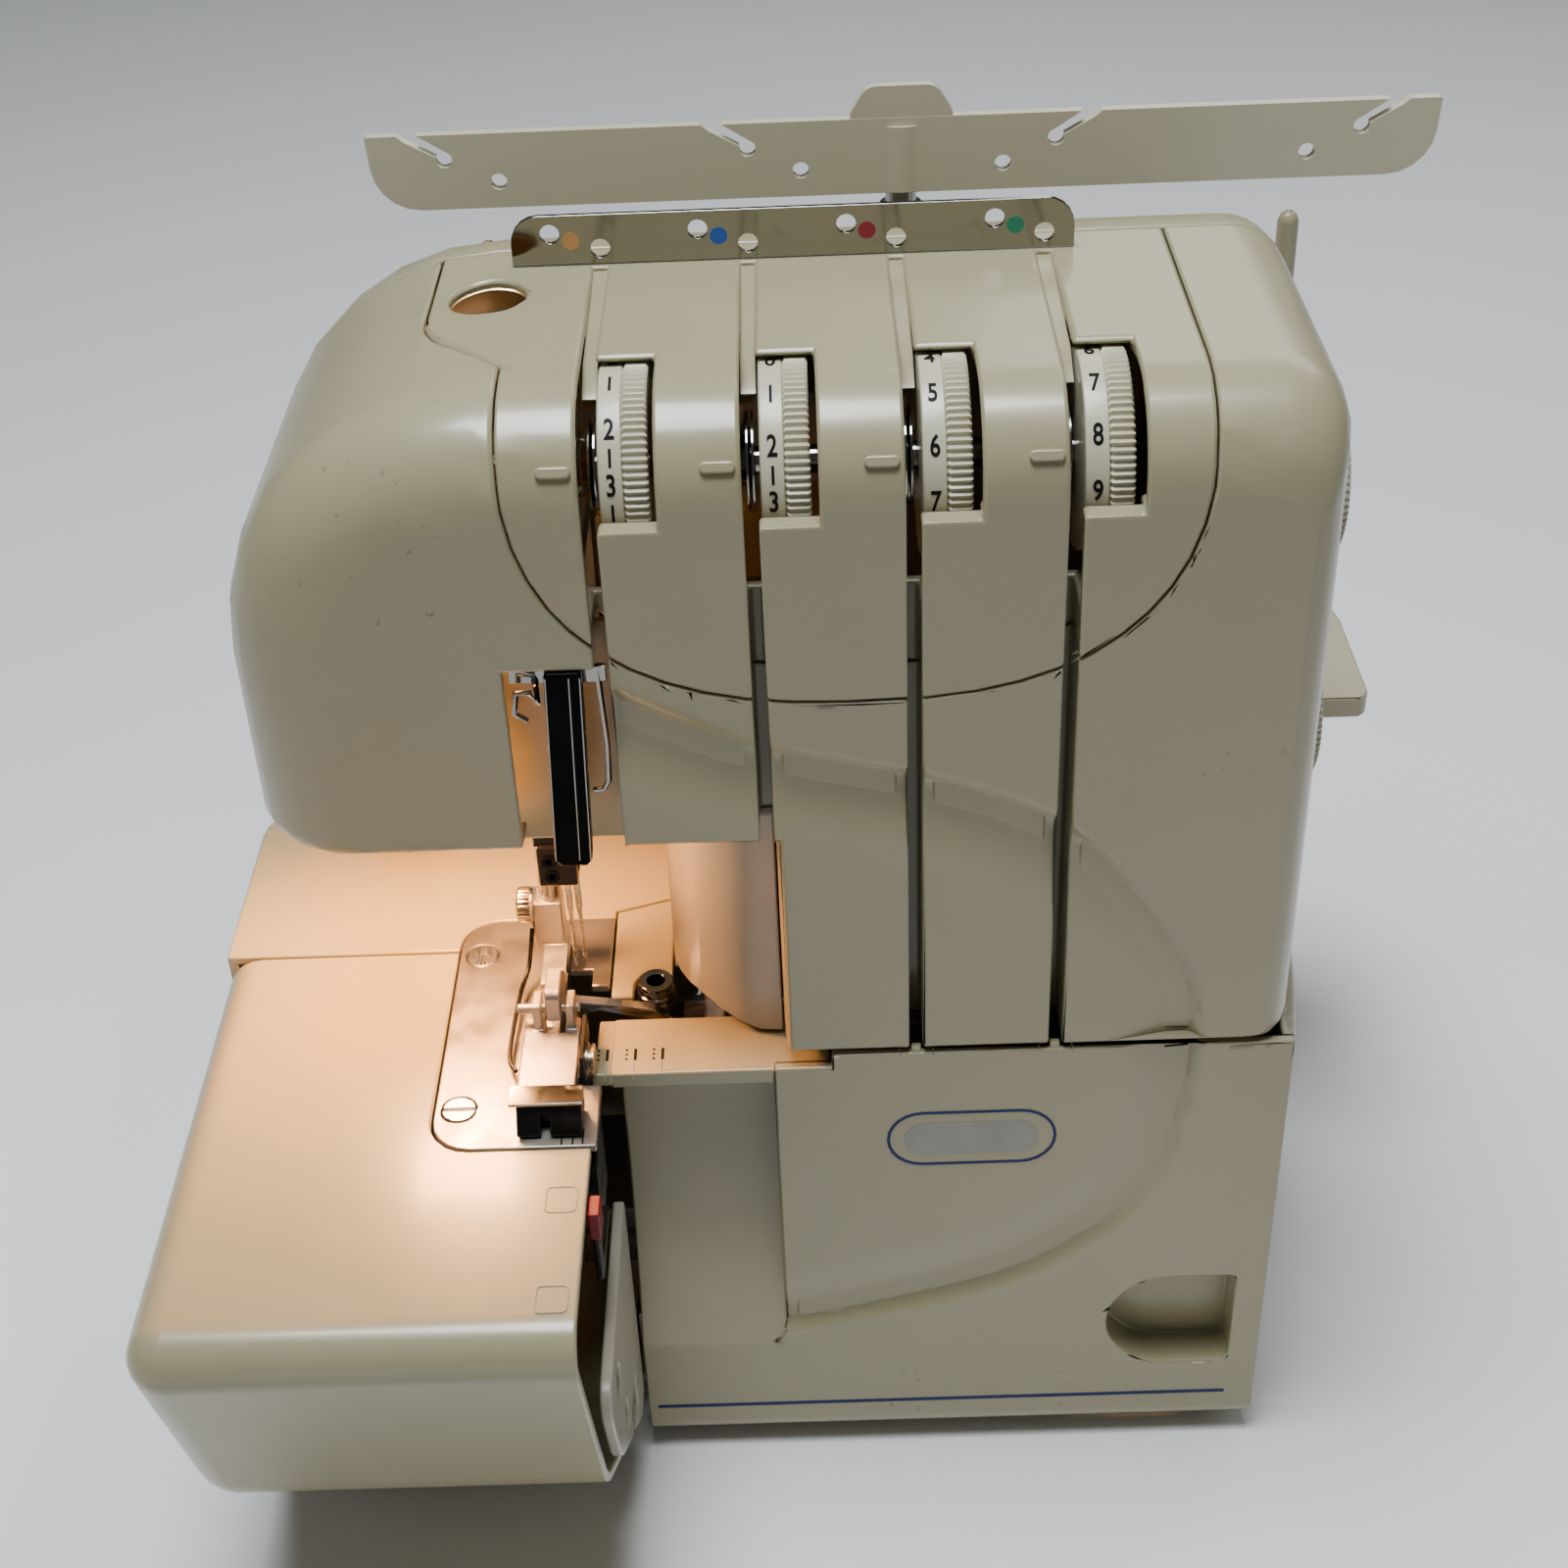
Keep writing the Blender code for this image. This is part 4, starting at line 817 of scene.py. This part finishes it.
def make_spool_pads():
    """Felt discs under the spools."""
    profile = [(3.4, 150.0), (13, 150.0), (13.5, 150.5), (13.5, 151.6), (13, 152), (3.4, 152)]
    for number in STATIONS:
        pad = turned(profile, "Z", (FIRST_SPOOL_X + SPOOL_PITCH * number, SPOOL_Y), 48, bore=True)
        piece(f"spool_pad_{number + 1}", pad, FELT, "root")


def make_inlet_pins():
    """Two round contact pins inside the mains inlet."""
    for number, y in enumerate((28.2, 33.8)):
        pin = turned([(1.3, 91.5), (1.3, 99.5), (0.9, 100.4), (0.3, 100.8)], "X", (y, 34), 20)
        piece(f"inlet_pin_{number + 1}", pin, SHAFT_STEEL, "root")


# ---------------------------------------------------------------- floor, camera and light

def make_floor():
    bpy.ops.mesh.primitive_plane_add(size=6.0, location=(0, 0, 0))
    floor = bpy.context.object
    floor.name = "floor"
    pale = (0.88, 0.88, 0.87)
    made, tree, shader = start("floor_paint", pale, 0.6)
    tone = spread(tree, noise(tree, 3, 2), 0.3, 0.7)
    link(tree, blended(tree, tone, pale, (0.90, 0.90, 0.89)), shader.inputs["Base Color"])
    floor.data.materials.append(made)


def make_camera():
    """Looks down at the machine from just above and in front of it, tilted a little."""
    data = bpy.data.cameras.new("camera")
    data.sensor_width = 36.0
    data.lens = 52.9
    made = bpy.data.objects.new("camera", data)
    bpy.context.scene.collection.objects.link(made)
    down, turn, tilt = math.radians(35.545), math.radians(1.079), math.radians(-2.5605)
    aim = (Matrix.Rotation(turn, 4, "Z") @ Matrix.Rotation(math.pi / 2 - down, 4, "X")
           @ Matrix.Rotation(tilt, 4, "Z"))
    made.matrix_world = Matrix.Translation((-0.0022, -0.4295, 0.4837)) @ aim
    bpy.context.scene.camera = made


def area_light(name, place, aim, size, power, colour=(1, 1, 1)):
    data = bpy.data.lights.new(name, "AREA")
    data.shape = "RECTANGLE"
    data.size, data.size_y = size
    data.energy = power
    data.color = colour
    made = bpy.data.objects.new(name, data)
    made.location = place
    made.rotation_euler = (Vector(aim) - Vector(place)).to_track_quat("-Z", "Y").to_euler()
    bpy.context.scene.collection.objects.link(made)


def lamp(name, place, aim, power, radius, cone, colour):
    data = bpy.data.lights.new(name, "SPOT")
    data.energy = power
    data.shadow_soft_size = radius
    data.spot_size = math.radians(cone)
    data.spot_blend = 0.4
    data.color = colour
    made = bpy.data.objects.new(name, data)
    made.location = place
    made.rotation_euler = (Vector(aim) - Vector(place)).to_track_quat("-Z", "Y").to_euler()
    bpy.context.scene.collection.objects.link(made)


def make_lights():
    world = bpy.data.worlds.new("studio")
    bpy.context.scene.world = world
    world.use_nodes = True
    world.node_tree.nodes["Background"].inputs["Color"].default_value = (0.96, 0.98, 1.0, 1.0)
    world.node_tree.nodes["Background"].inputs["Strength"].default_value = 0.09
    area_light("key_light", (-0.1, -0.10, 1.35), (0, 0, 0.15), (0.5, 0.5), 21.5, (0.94, 1.0, 1.06))
    area_light("back_light", (0.5, 0.9, 0.9), (0, 0, 0.2), (0.9, 0.5), 3.0)
    area_light("front_fill", (0.5, -1.0, 1.1), (0, 0, 0.15), (0.3, 0.3), 0.2, (1.0, 0.97, 0.92))
    warm = (1.0, 0.43, 0.15)
    lamp("lamp_light", (-0.093, -0.008, 0.1965), (-0.085, -0.05, 0.13), 2.5, 0.016, 168, warm)
    lamp("head_glow", (-0.070, 0.026, 0.276), (-0.066, 0.012, 0.290), 0.03, 0.003, 120, (1.0, 0.74, 0.48))
    lamp("notch_glow", (-0.0615, -0.0400, 0.2360), (-0.0615, -0.031, 0.215), 0.012, 0.002, 150, warm)


# ---------------------------------------------------------------- build

def build():
    make_camera()
    make_lights()
    make_floor()
    make_front_covers()
    make_shells()
    make_metal_parts()
    make_tension_dials()
    make_side_dials()
    make_handwheel()
    make_pressure_knob()
    make_index_marks()
    make_slot_fins()
    make_lip_ribs()
    make_plate_dots()
    make_badge()
    make_seam_marks()
    make_embossed_squares()
    make_guard_edges()
    make_foot_parts()
    make_clamp_screws()
    make_knife_screw()
    make_plate_details()
    make_tube_rings()
    make_case_screws()
    make_spool_pads()
    make_inlet_pins()


build()
